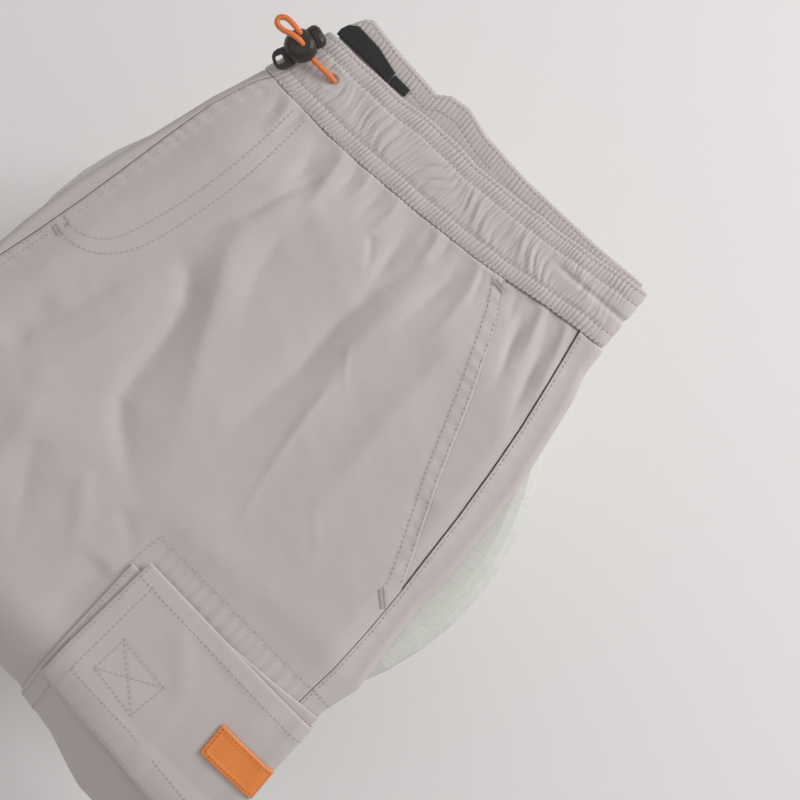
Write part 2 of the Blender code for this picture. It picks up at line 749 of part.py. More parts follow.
def cord_lock(paint):
    """The round lock: a ball with flats at top and bottom, a lug with an oblong hole, and the cord's bores."""
    centre = bend(*LOCK_CENTRE)
    profile = [(0.0, -LOCK_HALF_HEIGHT)]
    for angle in (-58, -42, -26, -10, 10, 26, 42, 58):
        turn = math.radians(angle)
        up = LOCK_HALF_HEIGHT * math.sin(turn) / math.sin(math.radians(58))
        profile.append((LOCK_RADIUS * math.cos(turn) ** 0.8, up))
    profile.append((0.0, LOCK_HALF_HEIGHT))
    lock = revolve("cord_lock_body", centre, profile, paint, 20)
    lug_outline = turned_outline(LUG_CENTRE[:2], 5.8, 5.2, 4.2, 118.0)
    lug = block("lug", lug_outline, LUG_CENTRE[2] - 1.6, LUG_CENTRE[2] + 1.6, paint)
    hole_outline = turned_outline((LUG_CENTRE[0] - 1.2, LUG_CENTRE[1] + 1.9), 1.8, 2.4, 0.9, 118.0)
    hole = block("lug_hole", hole_outline, LUG_CENTRE[2] - 6.0, LUG_CENTRE[2] + 6.0, paint)
    route = cord_points()
    route = np.vstack([route, route[-1] + 0.4 * (route[-1] - route[-2])])
    bore = tube_cutter("lock_bore", route, CORD_DIAMETER / 2.0 + BORE_EXTRA)
    change(lock, helper(lug), "UNION")
    change(lock, helper(hole), "DIFFERENCE")
    change(lock, bore, "DIFFERENCE")
    return lock


def cord_lock_button(paint):
    """The push button, a rounded lobe that stands out of the lock's side and fits round it."""
    ball = np.array(bend(*LOCK_CENTRE))
    place = np.array(bend(*BUTTON_CENTRE))
    out = place - ball
    out[2] = 0.0
    out /= np.linalg.norm(out)
    side = np.cross(out, (0.0, 0.0, 1.0))
    lobe = ((6.6, 5.8, 4.4), (9.6, 6.0, 4.4), (11.2, 5.2, 3.9), (12.2, 3.4, 2.4))
    rings = []
    for reach, wide, tall in lobe:
        centre = ball + out * reach
        ring = []
        for i in range(16):
            turn = 2.0 * math.pi * i / 16
            rise = np.array((0.0, 0.0, tall * math.sin(turn)))
            ring.append(centre + side * wide * math.cos(turn) + rise)
        rings.append(ring)
    button = loft("cord_lock_button", np.array(rings), paint)
    socket = [(0.0, -8.0)]
    for angle in (-60, -36, -12, 12, 36, 60):
        turn = math.radians(angle)
        socket.append(((LOCK_RADIUS + GAP) * math.cos(turn) ** 0.8, (LOCK_HALF_HEIGHT + GAP) * math.sin(turn) / 0.86))
    socket.append((0.0, 8.0))
    change(button, helper(revolve("button_socket", ball, socket, paint)), "DIFFERENCE")
    return button


def stand(paint):
    round_top, round_foot = STAND_ROUNDING, STAND_FOOT_ROUNDING
    profile = [(0.0, 0.0), (STAND_RADIUS - round_foot, 0.0)]
    for angle in (-45, 0):
        turn = math.radians(angle)
        across = STAND_RADIUS - round_foot + round_foot * math.cos(turn)
        profile.append((across, round_foot + round_foot * math.sin(turn)))
    for angle in (0, 30, 60, 90):
        turn = math.radians(angle)
        across = STAND_RADIUS - round_top + round_top * math.cos(turn)
        profile.append((across, STAND_HEIGHT - round_top + round_top * math.sin(turn)))
    profile.append((0.0, STAND_HEIGHT))
    return revolve("stand", (0.0, 0.0, 0.0), profile, paint, STAND_SEGMENTS)


def main():
    clear_scene()
    cloth = material("cotton_poplin", (0.60, 0.55, 0.52), 0.85)
    cloth_back = material("cotton_poplin_inside", (0.58, 0.53, 0.50), 0.88)
    black = material("woven_label", (0.012, 0.012, 0.014), 0.7)
    plastic = material("lock_plastic", (0.03, 0.028, 0.027), 0.42)
    orange = material("elastic_cord", (0.86, 0.20, 0.045), 0.6)
    rubber = material("orange_rubber", (0.88, 0.26, 0.07), 0.5)
    pale = material("pale_stand", (0.72, 0.72, 0.68), 0.6)
    stand(pale)
    front_left(cloth)
    front_right(cloth)
    back_left(cloth)
    pocket_facing(cloth)
    inner_layers(cloth_back)
    band_front(cloth)
    band_back(cloth_back)
    cargo_pocket(cloth)
    cargo_flap(cloth)
    flap_tab(rubber)
    label_top = ((16.7, -37.5), (18.7, -42.0), (23.0, -44.7), (37.5, -43.0), (51.8, -38.4))
    label_low = ((16.7, -34.8), (51.8, -32.6))
    flat_piece("waist_label", 17.0, 51.5, 10, label_top, label_low, BACK_BAND_HIGH + GAP, 1.0, black)
    tab_top = ((52.0, -37.8), (62.6, -36.8))
    tab_low = ((52.0, -32.6), (62.6, -32.4))
    flat_piece("waist_label_tab", 52.0, 62.4, 4, tab_top, tab_low, BACK_BAND_HIGH + GAP, 0.8, black, rows=3)
    drawcord(orange)
    cord_lock(plastic)
    cord_lock_button(plastic)


main()
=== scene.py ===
"""The look of the combat shorts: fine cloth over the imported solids, seams, stitches and light."""

import math

import bmesh
import bpy
import numpy as np
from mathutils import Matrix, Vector


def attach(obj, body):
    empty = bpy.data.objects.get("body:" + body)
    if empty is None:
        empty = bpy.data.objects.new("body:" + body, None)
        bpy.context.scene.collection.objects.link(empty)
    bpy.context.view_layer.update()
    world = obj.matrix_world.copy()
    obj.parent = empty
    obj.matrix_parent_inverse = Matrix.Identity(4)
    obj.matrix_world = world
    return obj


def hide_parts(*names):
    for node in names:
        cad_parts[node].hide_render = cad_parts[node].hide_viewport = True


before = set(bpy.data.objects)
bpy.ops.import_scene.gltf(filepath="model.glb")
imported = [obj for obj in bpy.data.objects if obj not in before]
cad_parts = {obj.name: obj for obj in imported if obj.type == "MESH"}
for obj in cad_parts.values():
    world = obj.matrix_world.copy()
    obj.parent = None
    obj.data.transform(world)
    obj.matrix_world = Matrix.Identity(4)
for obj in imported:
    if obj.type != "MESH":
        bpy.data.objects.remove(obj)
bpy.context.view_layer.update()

MM = 0.001
GAP = 0.3

# The same form as the solids
STAND_RADIUS = 147.0
STAND_HEIGHT = 240.0
CLOTH_CENTRE_A = 103.0
CLOTH_CENTRE_D = 134.0
HEM = 475.0
CROTCH = 235.0
WALL = 1.2
# columns: d, left outline, centre seam, side seam, right outline, stack, lift at right
STATIONS = (
    (0, 1.0, 7.0, 202.0, 217.5, 11.5, 0.0),
    (15, -5.0, -2.5, 204.5, 218.0, 11.0, 0.0),
    (28, -10.5, -7.0, 206.5, 222.0, 10.5, 0.0),
    (55, -19.5, -14.0, 210.5, 226.0, 9.5, 0.0),
    (80, -28.0, -19.8, 213.0, 229.5, 9.0, 0.0),
    (107, -36.5, -26.2, 215.0, 230.5, 9.0, 0.0),
    (134, -42.5, -33.6, 216.0, 231.0, 9.0, 0.0),
    (155, -46.0, -40.0, 217.0, 229.5, 9.0, 0.0),
    (180, -54.0, -49.0, 217.0, 230.5, 9.0, 0.6),
    (205, -62.5, -59.0, 216.0, 232.0, 9.6, 3.6),
    (222, -69.0, -66.5, 214.0, 226.5, 10.2, 4.4),
    (235, -73.0, -71.0, 213.0, 223.5, 10.4, 4.4),
    (262, -70.0, -68.0, 212.0, 223.0, 10.4, 4.4),
    (290, -66.5, -64.5, 211.5, 222.5, 10.4, 4.4),
    (330, -63.0, -61.0, 211.0, 222.0, 10.4, 4.4),
    (405, -57.0, -55.0, 210.5, 221.5, 10.2, 4.4),
    (425, -55.5, -53.5, 210.5, 222.5, 9.0, 1.0),
    (475, -52.0, -50.0, 210.0, 224.0, 8.0, 0.0),
)
SEAM_SAG = (
    (0, 0.6), (20, 3.5), (40, 5.5), (60, 7.0), (100, 7.2), (140, 6.0), (160, 4.4), (180, 2.0), (200, 0.5),
    (217, 0.0),
)
POCKET_EDGE = (
    (0, 157.5), (5.6, 159.5), (21.4, 168.0), (61.0, 183.0), (103.0, 197.0), (136.0, 210.0), (153.5, 216.6),
)
POCKET_END = 153.5
BEND_LINE = (
    (-80, 271, 30), (60, 272, 30), (100, 275, 30), (130, 280, 33), (158, 288, 36), (200, 292, 38),
    (240, 295.8, 39.9),
)
# Folds of the front: height, reach to the left and to the right, then the a, d points of the line they follow
LONG_FOLDS = (
    (-3.6, 7.0, 13.0,
        ((24.8, 94.1), (39.3, 104.3), (45.9, 115.0), (48.6, 132.7), (49.0, 155.8), (50.7, 170.5),
        (56.3, 177.9), (72.5, 191.9), (91.5, 203.5), (104.6, 209.7))),
    (3.0, 12.0, 18.0,
        ((59.7, 26.9), (51.2, 49.6), (44.8, 68.7), (47.0, 82.3), (54.0, 97.2), (62.7, 117.4),
        (70.3, 135.1), (79.8, 154.7), (90.1, 177.1), (99.6, 196.7))),
    (-2.6, 8.0, 8.0,
        ((122.2, 19.2), (113.0, 49.3), (108.5, 72.7), (108.5, 101.4), (104.2, 129.1), (103.1, 152.4),
        (109.6, 174.5))),
    (1.8, 9.0, 14.0,
        ((129.0, 27.3), (124.7, 55.0), (122.4, 81.1), (125.9, 105.7), (127.3, 132.1), (130.5, 160.4),
        (134.3, 181.4))),
    (0.7, 1.5, 2.0,
        ((128.9, 92.9), (125.9, 105.7), (127.3, 132.1), (130.5, 160.4), (135.3, 180.5),
        (143.7, 197.5))),
    (0.5, 1.2, 1.5, ((119.0, 77.0), (128.9, 92.9), (142.1, 102.4))),
    (0.5, 1.2, 1.5, ((156.8, 148.7), (168.0, 160.0), (176.1, 173.8))),
    (-1.6, 6.0, 8.0, ((-8.9, 191.3), (-4.5, 172.1), (4.9, 150.4), (13.5, 127.7), (22.8, 106.1))),
    (1.2, 8.0, 10.0, ((9.3, 196.7), (17.0, 173.0), (27.4, 140.2), (31.7, 112.5), (28.6, 104.7))),
    (-1.8, 3.0, 5.0, ((58.4, 21.1), (49.3, 39.1), (41.6, 58.6), (34.9, 69.1), (31.2, 79.1), (31.2, 92.2))),
    (-1.2, 6.0, 7.0, ((68.2, 37.0), (60.5, 60.7), (62.6, 79.6), (71.1, 100.0), (76.3, 116.4))),
    (-1.0, 2.0, 3.0, ((93.2, 29.8), (99.6, 38.2), (104.3, 48.0))),
    (-0.8, 5.0, 6.0, ((85.0, 208.9), (101.6, 222.5), (108.8, 237.2))),
    (2.0, 12.0, 14.0, ((160, 30), (158, 110), (164, 185))),
    (-1.6, 6.0, 8.0, ((-4, 150), (-14, 190), (-40, 225))),
    (-2.0, 8.0, 12.0, ((97, 235), (94, 262), (92, 285))),
    (1.6, 12.0, 14.0, ((20, 190), (26, 240), (20, 300))),
    (-1.2, 6.0, 8.0, ((30, 210), (46, 240), (60, 262))),
    (1.2, 7.0, 7.0, ((60, 206), (74, 228), (84, 250))),
    (-1.2, 6.0, 6.0, ((196, 110), (204, 134), (207, 150))),
)
# Tucks that start at the waistband's seam
TUCKS = (
    (-2.4, 4.0, 7.0, ((45.2, 5.2), (46.7, 14.1), (47.5, 25.9), (46.0, 42.2))),
    (1.6, 5.0, 7.0, ((57.6, 3.9), (59.3, 16.0), (61.2, 36.2), (61.3, 56.4))),
    (-1.3, 1.6, 3.0, ((66.5, 4.9), (68.0, 16.4), (65.8, 29.7))),
    (1.0, 2.5, 3.0, ((74.8, 6.0), (75.2, 16.1), (73.0, 26.3))),
    (-1.4, 1.6, 3.0, ((84.2, 6.8), (83.7, 16.6), (80.5, 28.8))),
    (1.1, 3.0, 4.0, ((93.8, 6.2), (94.2, 18.6), (91.5, 34.3))),
    (-2.2, 3.5, 6.0, ((105.5, 5.7), (106.6, 18.3), (107.3, 31.9), (109.0, 49.9), (109.8, 66.1))),
    (-1.0, 1.2, 2.0, ((112.8, 4.7), (114.5, 12.4), (113.5, 19.2))),
    (1.2, 3.0, 4.0, ((118.7, 5.4), (120.5, 16.7), (120.2, 30.4))),
    (-1.2, 1.4, 2.4, ((124.9, 6.3), (126.0, 14.8), (123.3, 23.8))),
    (-1.8, 3.0, 6.0, ((135.7, 8.0), (137.0, 22.4), (134.4, 39.3), (130.6, 62.1))),
    (1.2, 4.0, 6.0, ((144.5, 7.3), (148.1, 20.4), (148.9, 36.6), (148.7, 60.3))),
    (-0.9, 1.6, 2.2, ((147.3, 9.0), (150.2, 17.3), (152.3, 27.0))),
    (-2.6, 2.6, 4.5, ((174.7, 0.8), (176.5, 13.4), (179.2, 24.6), (184.8, 40.1), (188.0, 54.3))),
    (1.4, 3.0, 4.0, ((181.1, 2.8), (185.5, 16.0), (189.9, 32.5))),
    (-3.0, 3.5, 6.0, ((188.1, 2.3), (192.7, 16.6), (196.7, 33.5), (201.7, 49.4), (207.9, 64.4))),
    (1.6, 3.0, 4.0, ((195.6, 2.5), (201.0, 16.5), (205.0, 33.3), (210.6, 52.0))),
    (-1.2, 1.4, 2.0, ((166.7, 4.9), (169.3, 12.8), (172.3, 20.3))),
    (-1.2, 1.4, 2.2, ((209.2, 1.1), (212.7, 10.0), (215.7, 20.8))),
    (-1.2, 1.4, 2.4, ((14.6, 4.8), (16.7, 13.7), (15.3, 21.6))),
    (-1.3, 1.6, 3.0, ((28.8, 5.6), (28.9, 12.2), (23.9, 23.8))),
    (1.2, 3.0, 4.0, ((21.4, 5.7), (23.2, 15.0), (19.3, 26.4))),
    (-1.0, 1.4, 2.0, ((6.5, 4.8), (8.1, 11.5), (6.0, 18.6))),
)
# Folds of the hanging legs
HANGING_FOLDS = (
    (-2.2, 12.0, 12.0, ((50, 300), (52, 380), (46, 475))),
    (2.2, 14.0, 14.0, ((10, 320), (12, 400), (10, 475))),
    (-1.8, 10.0, 10.0, ((-28, 330), (-26, 400), (-24, 475))),
    (1.1, 9.0, 9.0, ((-44, 300), (-40, 380), (-40, 470))),
    (-1.2, 6.0, 6.0, ((80, 330), (84, 400), (80, 470))),
    (1.4, 9.0, 9.0, ((66, 320), (70, 400), (66, 470))),
)
PUFF = 5.2
BAND_LEFT = ((-52, 20.5), (-34, 13.0), (0, 0.0), (8, -1.0))
BAND_TOP = (
    (0, -33.6), (13, -33.6), (61, -31.0), (83, -32.5), (111, -29.5), (146, -30.0), (181, -32.0), (216, -35.6),
)
BAND_RIGHT = 216.5
BAND_STACK = 12.0
BAND_WALL = 3.0
BAND_GATHERS = 88
BAND_HEIGHT = 34.0
BAND_RUN = 205.0
BAND_ROWS = (0.045, 0.225, 0.765, 0.945)
EYELET = (30.2, -16.2)
BACK_BAND_TOP = (
    (8, -7.0), (13, -19.5), (17.6, -31.5), (18.4, -42.0), (23, -49.5), (27, -52), (46, -48), (66, -45.2),
    (74, -44.0), (80, -48.0), (90.5, -49), (106, -44), (134, -40), (161.5, -38.5), (183, -37.4),
    (212, -37.5),
)
BACK_BAND_LOW = 3.4
BACK_BAND_HIGH = 8.6
BACK_ROWS = (1.9, 9.4)
RIB_PITCH = 2.45
FLAP_TOP_LEFT = (114.0, 221.5)
FLAP_LOW_LEFT = (107.0, 290.6)
FLAP_TOP_SLOPE = 0.112
FLAP_LOW_SLOPE = 0.188
FLAP_UNDER = 44.0
FLAP_WALL = 1.3
POCKET_TOP = 228.0
POCKET_LOW = 405.0
POCKET_LEFT = ((226, 107.5), (290, 104.5), (405, 103.0))
POCKET_UNDER = 40.0
POCKET_OFF = 0.5
FLAP_OFF = 2.5
FLAP_WIDTH = 170.0
FLAP_HEIGHT = 70.0
DOUBLE_ROWS = (2.0, 10.0)
PATCH_LEFT = 191.8
PATCH_TOP = 259.0
PATCH_WIDTH = 35.0
PATCH_HEIGHT = 18.0
PATCH_SLOPE = 0.115
CORD_DIAMETER = 2.8
CORD_IN_EYELET = (32.0, -15.8, 12.6)
CORD_ROUTE = (
    (30.0, -16.0, 14.3), (28.0, -16.1, 15.0), (24.6, -16.3, 15.7), (20.5, -16.6, 16.6), (16.5, -16.9, 18.0),
    (13.4, -17.4, 20.4), (11.6, -18.0, 23.6), (10.2, -18.4, 26.6), (7.6, -18.6, 28.9), (3.3, -18.2, 29.6),
    (-0.6, -17.2, 29.5), (-4.4, -17.4, 29.1), (-6.2, -19.2, 29.0), (-5.6, -21.4, 29.1), (-2.8, -22.7, 29.3),
    (1.5, -22.4, 29.3), (4.2, -21.9, 28.6), (5.8, -21.6, 26.6), (6.6, -21.4, 23.6),
)
CLOTH_THICKNESS = 0.7
# Depths of a panel's first rows, which turn in under the waistband
TOP_ROWS = [-2.0, -1.0, 0.0, 0.7]


def along(table, x, column=1):
    """A column of a table, read at x."""
    return np.interp(x, [row[0] for row in table], [row[column] for row in table])


def station(d, column):
    return along(STATIONS, d, column)


def ease(x, low, high):
    """A soft step from 0 at low to 1 at high."""
    t = np.clip((np.asarray(x, float) - low) / (high - low), 0.0, 1.0)
    return t * t * (3.0 - 2.0 * t)


def nearest(a, d, line):
    """Distance of each point from a line of points, its side, and the share of the line passed there."""
    best = np.full(np.shape(a), 1e9)
    side = np.zeros(np.shape(a))
    passed = np.zeros(np.shape(a))
    runs = [math.hypot(a1 - a0, d1 - d0) for (a0, d0), (a1, d1) in zip(line[:-1], line[1:])]
    before = 0.0
    for (a0, d0), (a1, d1), run in zip(line[:-1], line[1:], runs):
        run_a, run_d = a1 - a0, d1 - d0
        t = np.clip(((a - a0) * run_a + (d - d0) * run_d) / run**2, 0.0, 1.0)
        off_a, off_d = a - a0 - t * run_a, d - d0 - t * run_d
        away = np.hypot(off_a, off_d)
        closer = away < best
        best = np.where(closer, away, best)
        side = np.where(closer, np.sign(off_a * run_d - off_d * run_a), side)
        passed = np.where(closer, (before + t * run) / sum(runs), passed)
        before += run
    return best, side, passed


def away_from(a, d, line):
    return nearest(a, d, line)[0]


def crease(a, d, rise, left, right, line, start=0.0, end=1.0):
    """A fold along a line: crisp at its crest, with its own reach on each side, fading towards its ends."""
    away, side, passed = nearest(a, d, line)
    reach = np.where(side > 0.0, right, left)
    profile = np.exp(0.4 - np.sqrt((1.5 * away / reach) ** 2 + 0.16))
    begin = start + (1.0 - start) * ease(passed, 0.0, 0.16)
    return rise * profile * begin * (1.0 - end * ease(passed, 0.45, 1.0))


def uneven(a, d, size, seed=0.0):
    """A smooth uneven field between about -1 and 1, with patches of the given size in mm."""
    u, v = a / size, d / size
    field = np.sin(1.3 * u + 2.1 * np.sin(0.9 * v + seed) + seed)
    field = field + np.sin(1.7 * v + 1.9 * np.sin(1.1 * u + 2.0 * seed) + 1.7 * seed)
    field = field + 0.6 * np.sin(2.3 * u - 1.6 * v + 2.2 * np.sin(0.7 * u + 0.8 * v + seed) + 3.1)
    return field / 2.6


def folds(a, d):
    """Height of the top layer over the flat stack."""
    a, d = np.broadcast_arrays(np.asarray(a, float), np.asarray(d, float))
    left = station(d, 1)
    right = station(d, 4)
    edges = ease(a - left, 3.0, 30.0) * ease(right - a, 5.0, 24.0)
    from_seam = d - along(SEAM_SAG, a)
    height = PUFF * (0.1 + 0.9 * ease(from_seam, -2.0, 42.0)) * (1.0 - 0.5 * ease(d, 190.0, 235.0)) + 0.0 * a
    for fold in LONG_FOLDS:
        height = height + 1.15 * crease(a, d, *fold)
    for fold in HANGING_FOLDS:
        height = height + crease(a, d, *fold)
    for fold in TUCKS:
        height = height + 1.2 * crease(a, d, *fold, start=1.0) * (0.35 + 0.65 * ease(from_seam, 0.0, 5.0))
    rumple = 0.4 * uneven(a, d, 19.0, 0.4) + 0.1 * uneven(a, d, 6.0, 2.0)
    height = height + rumple * ease(from_seam, 2.0, 14.0)
    puckers = np.abs(np.sin(a / 0.92 + 1.3 * np.sin(a / 5.3) + 0.7 * np.sin(a / 1.9))) ** 0.7
    height = height + 0.55 * puckers * np.exp(-np.maximum(from_seam, 0.0) / 2.6)
    pocket = ease(a, 98.0, 112.0) * ease(d, 196.0, 222.0) * (1.0 - ease(d, 405.0, 430.0))
    height = height * (1.0 - pocket) + 2.4 * pocket
    return np.logaddexp(height * 2.5, 0.3) / 2.5 * edges


def bend(a, d, h):
    """World position in mm of a point of the cloth."""
    a, d, h = np.broadcast_arrays(*(np.asarray(value, float) for value in (a, d, h)))
    line = along(BEND_LINE, a, 1)
    radius = along(BEND_LINE, a, 2)
    past = np.maximum(d - line, 0.0)
    turn = np.minimum(past / radius, math.pi / 2.0)
    down = np.maximum(past - radius * math.pi / 2.0, 0.0)
    x = a - CLOTH_CENTRE_A
    y = CLOTH_CENTRE_D - np.minimum(d, line)
    over = np.maximum(np.hypot(x, y) - STAND_RADIUS - 2.0, 0.0)
    drop = over**2 / 260.0 * ease(-y, -20.0, 60.0)
    flute = 3.2 * np.sin(a / 24.0 + 0.6) * ease(down, 0.0, 110.0) * (1.0 - ease(a, 150.0, 195.0))
    y = y - (radius + h) * np.sin(turn) - flute
    z = STAND_HEIGHT + GAP + h * np.cos(turn) - radius * (1.0 - np.cos(turn)) - down - drop
    return np.stack([x, y, z], axis=-1)


def section(g, off, left, right, stack, lift, height=0.0):
    """Across and up, for a run of cloth g round the folded section, off outside its skin."""
    radius_left = stack / 2.0
    radius_right = (stack - lift) / 2.0
    start = left + radius_left
    end = right - radius_right
    top = stack + off + height
    a = np.clip(g, start, end)
    h = top + 0.0 * a
    for side, edge, radius, base in ((-1.0, start, radius_left, 0.0), (1.0, end, radius_right, lift)):
        run = side * (g - edge)
        turn = np.clip(run / radius, 0.0, math.pi)
        under = np.maximum(run - math.pi * radius, 0.0)
        on_edge = run > 0.0
        a = np.where(on_edge, edge + side * ((radius + off) * np.sin(turn) - under), a)
        h = np.where(on_edge, base + radius + (radius + off) * np.cos(turn), h)
    return a, h


def skin(g, d, off):
    """World points of the body's cloth, off outside its skin."""
    g, d, off = np.broadcast_arrays(*(np.asarray(value, float) for value in (g, d, off)))
    left, right = station(d, 1), station(d, 4)
    stack, lift = station(d, 5), station(d, 6)
    height = folds(np.clip(g, left + stack / 2.0, right - (stack - lift) / 2.0), d)
    a, h = section(g, off, left, right, stack, lift, height)
    return bend(a, d, h)


def left_start(d):
    return station(d, 1) + station(d, 5) / 2.0


def right_end(d):
    return station(d, 4) - (station(d, 5) - station(d, 6)) / 2.0


def left_arc(d, degrees):
    """Run of cloth at an angle round the left fold."""
    return left_start(d) - station(d, 5) / 2.0 * math.radians(degrees)


def right_arc(d, degrees):
    """Run of cloth at an angle round the right fold."""
    return right_end(d) + (station(d, 5) - station(d, 6)) / 2.0 * math.radians(degrees)


# Meshes

def in_scene(name, data):
    made = bpy.data.objects.new(name, data)
    bpy.context.scene.collection.objects.link(made)
    return made


def make_object(name, points, faces, paint, cloth):
    """A mesh object from points in mm, its faces outwards; cloth holds each point's place on the cloth."""
    mesh = bpy.data.meshes.new(name)
    mesh.from_pydata((np.asarray(points) * MM).tolist(), [], [tuple(int(i) for i in face) for face in faces])
    mesh.update()
    work = bmesh.new()
    work.from_mesh(mesh)
    if work.calc_volume(signed=True) < 0.0:
        bmesh.ops.reverse_faces(work, faces=work.faces[:])
    work.to_mesh(mesh)
    work.free()
    layer = mesh.uv_layers.new(name="cloth")
    index = np.empty(len(mesh.loops), np.int32)
    mesh.loops.foreach_get("vertex_index", index)
    layer.data.foreach_set("uv", (np.asarray(cloth)[index] * MM).astype(np.float32).ravel())
    mesh.polygons.foreach_set("use_smooth", [True] * len(mesh.polygons))
    mesh.materials.append(paint)
    return in_scene(name, mesh)


def wall_faces(rows, columns):
    """Faces of a closed wall between two grids of points."""
    faces = []
    under = rows * columns
    index = np.arange(rows * columns).reshape(rows, columns)
    a, b, c, e = index[:-1, :-1], index[:-1, 1:], index[1:, 1:], index[1:, :-1]
    faces += np.stack([a, b, c, e], -1).reshape(-1, 4).tolist()
    faces += np.stack([a + under, e + under, c + under, b + under], -1).reshape(-1, 4).tolist()
    for line, turned in ((index[0], False), (index[-1], True), (index[:, 0], True), (index[:, -1], False)):
        for i, j in zip(line[:-1], line[1:]):
            face = (i, i + under, j + under, j)
            faces.append(face[::-1] if turned else face)
    return faces


def cloth_wall(name, outer, inner, run, depth, paint):
    """A closed thin wall of cloth between two grids, with its place on the cloth kept for the weave."""
    rows, columns = outer.shape[:2]
    points = np.concatenate([outer.reshape(-1, 3), inner.reshape(-1, 3)])
    cloth = np.stack([run, depth], -1).reshape(-1, 2)
    return make_object(name, points, wall_faces(rows, columns), paint, np.concatenate([cloth, cloth]))


def join(name, objects, paint):
    """Several closed walls as one piece."""
    work = bmesh.new()
    for thing in objects:
        work.from_mesh(thing.data)
        bpy.data.objects.remove(thing, do_unlink=True)
    mesh = bpy.data.meshes.new(name)
    work.to_mesh(mesh)
    work.free()
    mesh.polygons.foreach_set("use_smooth", [True] * len(mesh.polygons))
    mesh.materials.append(paint)
    return in_scene(name, mesh)


def turned_edge(outer_off, edge_distance, width, depth):
    """Rounds a cloth edge off: the outer side drops towards the edge."""
    t = np.clip(1.0 - edge_distance / width, 0.0, 1.0)
    return outer_off - depth * t * t


def spread(low, high, count):
    """Shares from low to high, with a few closer together at both ends."""
    t = np.linspace(0.0, 1.0, count)
    extra = np.array([0.12, 0.35, 0.65]) / (count - 1)
    t = np.unique(np.concatenate([t, extra, 1.0 - extra]))
    return low + (high - low) * t


# Materials

class Wire:
    """A socket that can be used in sums."""

    def __init__(self, tree, socket):
        self.tree = tree
        self.socket = socket

    def node(self, kind, values=(), out=0, **settings):
        made = self.tree.nodes.new(kind)
        for key, value in settings.items():
            setattr(made, key, value)
        for key, value in dict(values).items():
            if isinstance(value, Wire):
                self.tree.links.new(value.socket, made.inputs[key])
            else:
                made.inputs[key].default_value = value
        return Wire(self.tree, made.outputs[out])

    def sum(self, operation, other):
        return self.node("ShaderNodeMath", {0: self, 1: other}, operation=operation)

    def __add__(self, other):
        return self.sum("ADD", other)

    def __sub__(self, other):
        return self.sum("SUBTRACT", other)

    def __mul__(self, other):
        return self.sum("MULTIPLY", other)

    def stretched(self, x, y, z=1.0):
        return self.node("ShaderNodeVectorMath", {0: self, 1: (x, y, z)}, operation="MULTIPLY")

    def noise(self, scale, detail=2.0, roughness=0.5):
        values = {"Vector": self, "Scale": scale, "Detail": detail, "Roughness": roughness}
        return self.node("ShaderNodeTexNoise", values)

    def wave(self, scale, direction, distortion=0.0):
        values = {"Vector": self, "Scale": scale, "Distortion": distortion, "Detail": 1.0}
        return self.node("ShaderNodeTexWave", values, bands_direction=direction)

    def colours(self, first, second):
        values = {0: self, 6: (*first, 1.0), 7: (*second, 1.0)}
        return self.node("ShaderNodeMix", values, out=2, data_type="RGBA")

    def bump(self, distance, strength=1.0, normal=None):
        values = {"Height": self, "Distance": distance, "Strength": strength}
        if normal is not None:
            values["Normal"] = normal
        return self.node("ShaderNodeBump", values)


def new_material(name, roughness, **constants):
    made = bpy.data.materials.new(name)
    made.use_nodes = True
    shader = made.node_tree.nodes["Principled BSDF"]
    shader.inputs["Roughness"].default_value = roughness
    for key, value in constants.items():
        shader.inputs[key.replace("_", " ")].default_value = value
    start = Wire(made.node_tree, None)
    return made, shader, start


def feed(wire, shader, name):
    wire.tree.links.new(wire.socket, shader.inputs[name])


def cloth_material(name, light, shade):
    """Crisp cotton poplin: a fine plain weave with slubs, soft crumples and a faint mottle."""
    finish = {"Sheen_Weight": 0.12, "Sheen_Roughness": 0.5, "Specular_IOR_Level": 0.25}
    made, shader, start = new_material(name, 0.82, **finish)
    place = start.node("ShaderNodeUVMap", uv_map="cloth")
    mottle = place.noise(34.0, 3.0, 0.55)
    slub = place.stretched(1.0, 0.12).noise(900.0, 2.0)
    tone = (mottle - 0.5) * 0.5 + (slub - 0.5) * 0.5 + 0.5
    feed(tone.colours(shade, light), shader, "Base Color")
    warp = place.wave(720.0, "X", 0.6)
    weft = place.wave(620.0, "Y", 0.6)
    threads = (warp + weft + slub * 0.8).bump(0.00003, 0.5)
    crumple = (place.noise(120.0, 3.0, 0.6) + place.noise(46.0, 2.0) * 1.4).bump(0.00035, 0.5, threads)
    feed(crumple, shader, "Normal")
    return made


def plain_material(name, colour, roughness, grain=0.0, size=1500.0, **constants):
    """A moulded or woven trim with a fine grain."""
    made, shader, start = new_material(name, roughness, **constants)
    place = start.node("ShaderNodeTexCoord", out=3)
    grainy = place.noise(size, 2.0)
    shade, light = [c * 0.86 for c in colour], [min(1.0, c * 1.14) for c in colour]
    feed(((grainy - 0.5) * 0.4 + 0.5).colours(shade, light), shader, "Base Color")
    if grain:
        feed(grainy.bump(grain), shader, "Normal")
    return made


def cord_material(name, colour):
    """Braided elastic cord: slanted plaits crossing round it."""
    made, shader, start = new_material(name, 0.55, Sheen_Weight=0.1)
    place = start.node("ShaderNodeTexCoord", out=3)
    one = place.stretched(1.0, 1.0, 0.4).wave(330.0, "DIAGONAL", 1.0)
    two = place.stretched(-1.0, 1.0, 0.4).wave(330.0, "DIAGONAL", 1.0)
    plait_and_groove_shade = one * two
    # The plait height also darkens the base colour in the grooves between the plaits: painted shade in the
    # grooves, on top of the bump.
    feed(plait_and_groove_shade.colours([c * 0.8 for c in colour], colour), shader, "Base Color")
    feed(plait_and_groove_shade.bump(0.00012, 0.6), shader, "Normal")
    return made


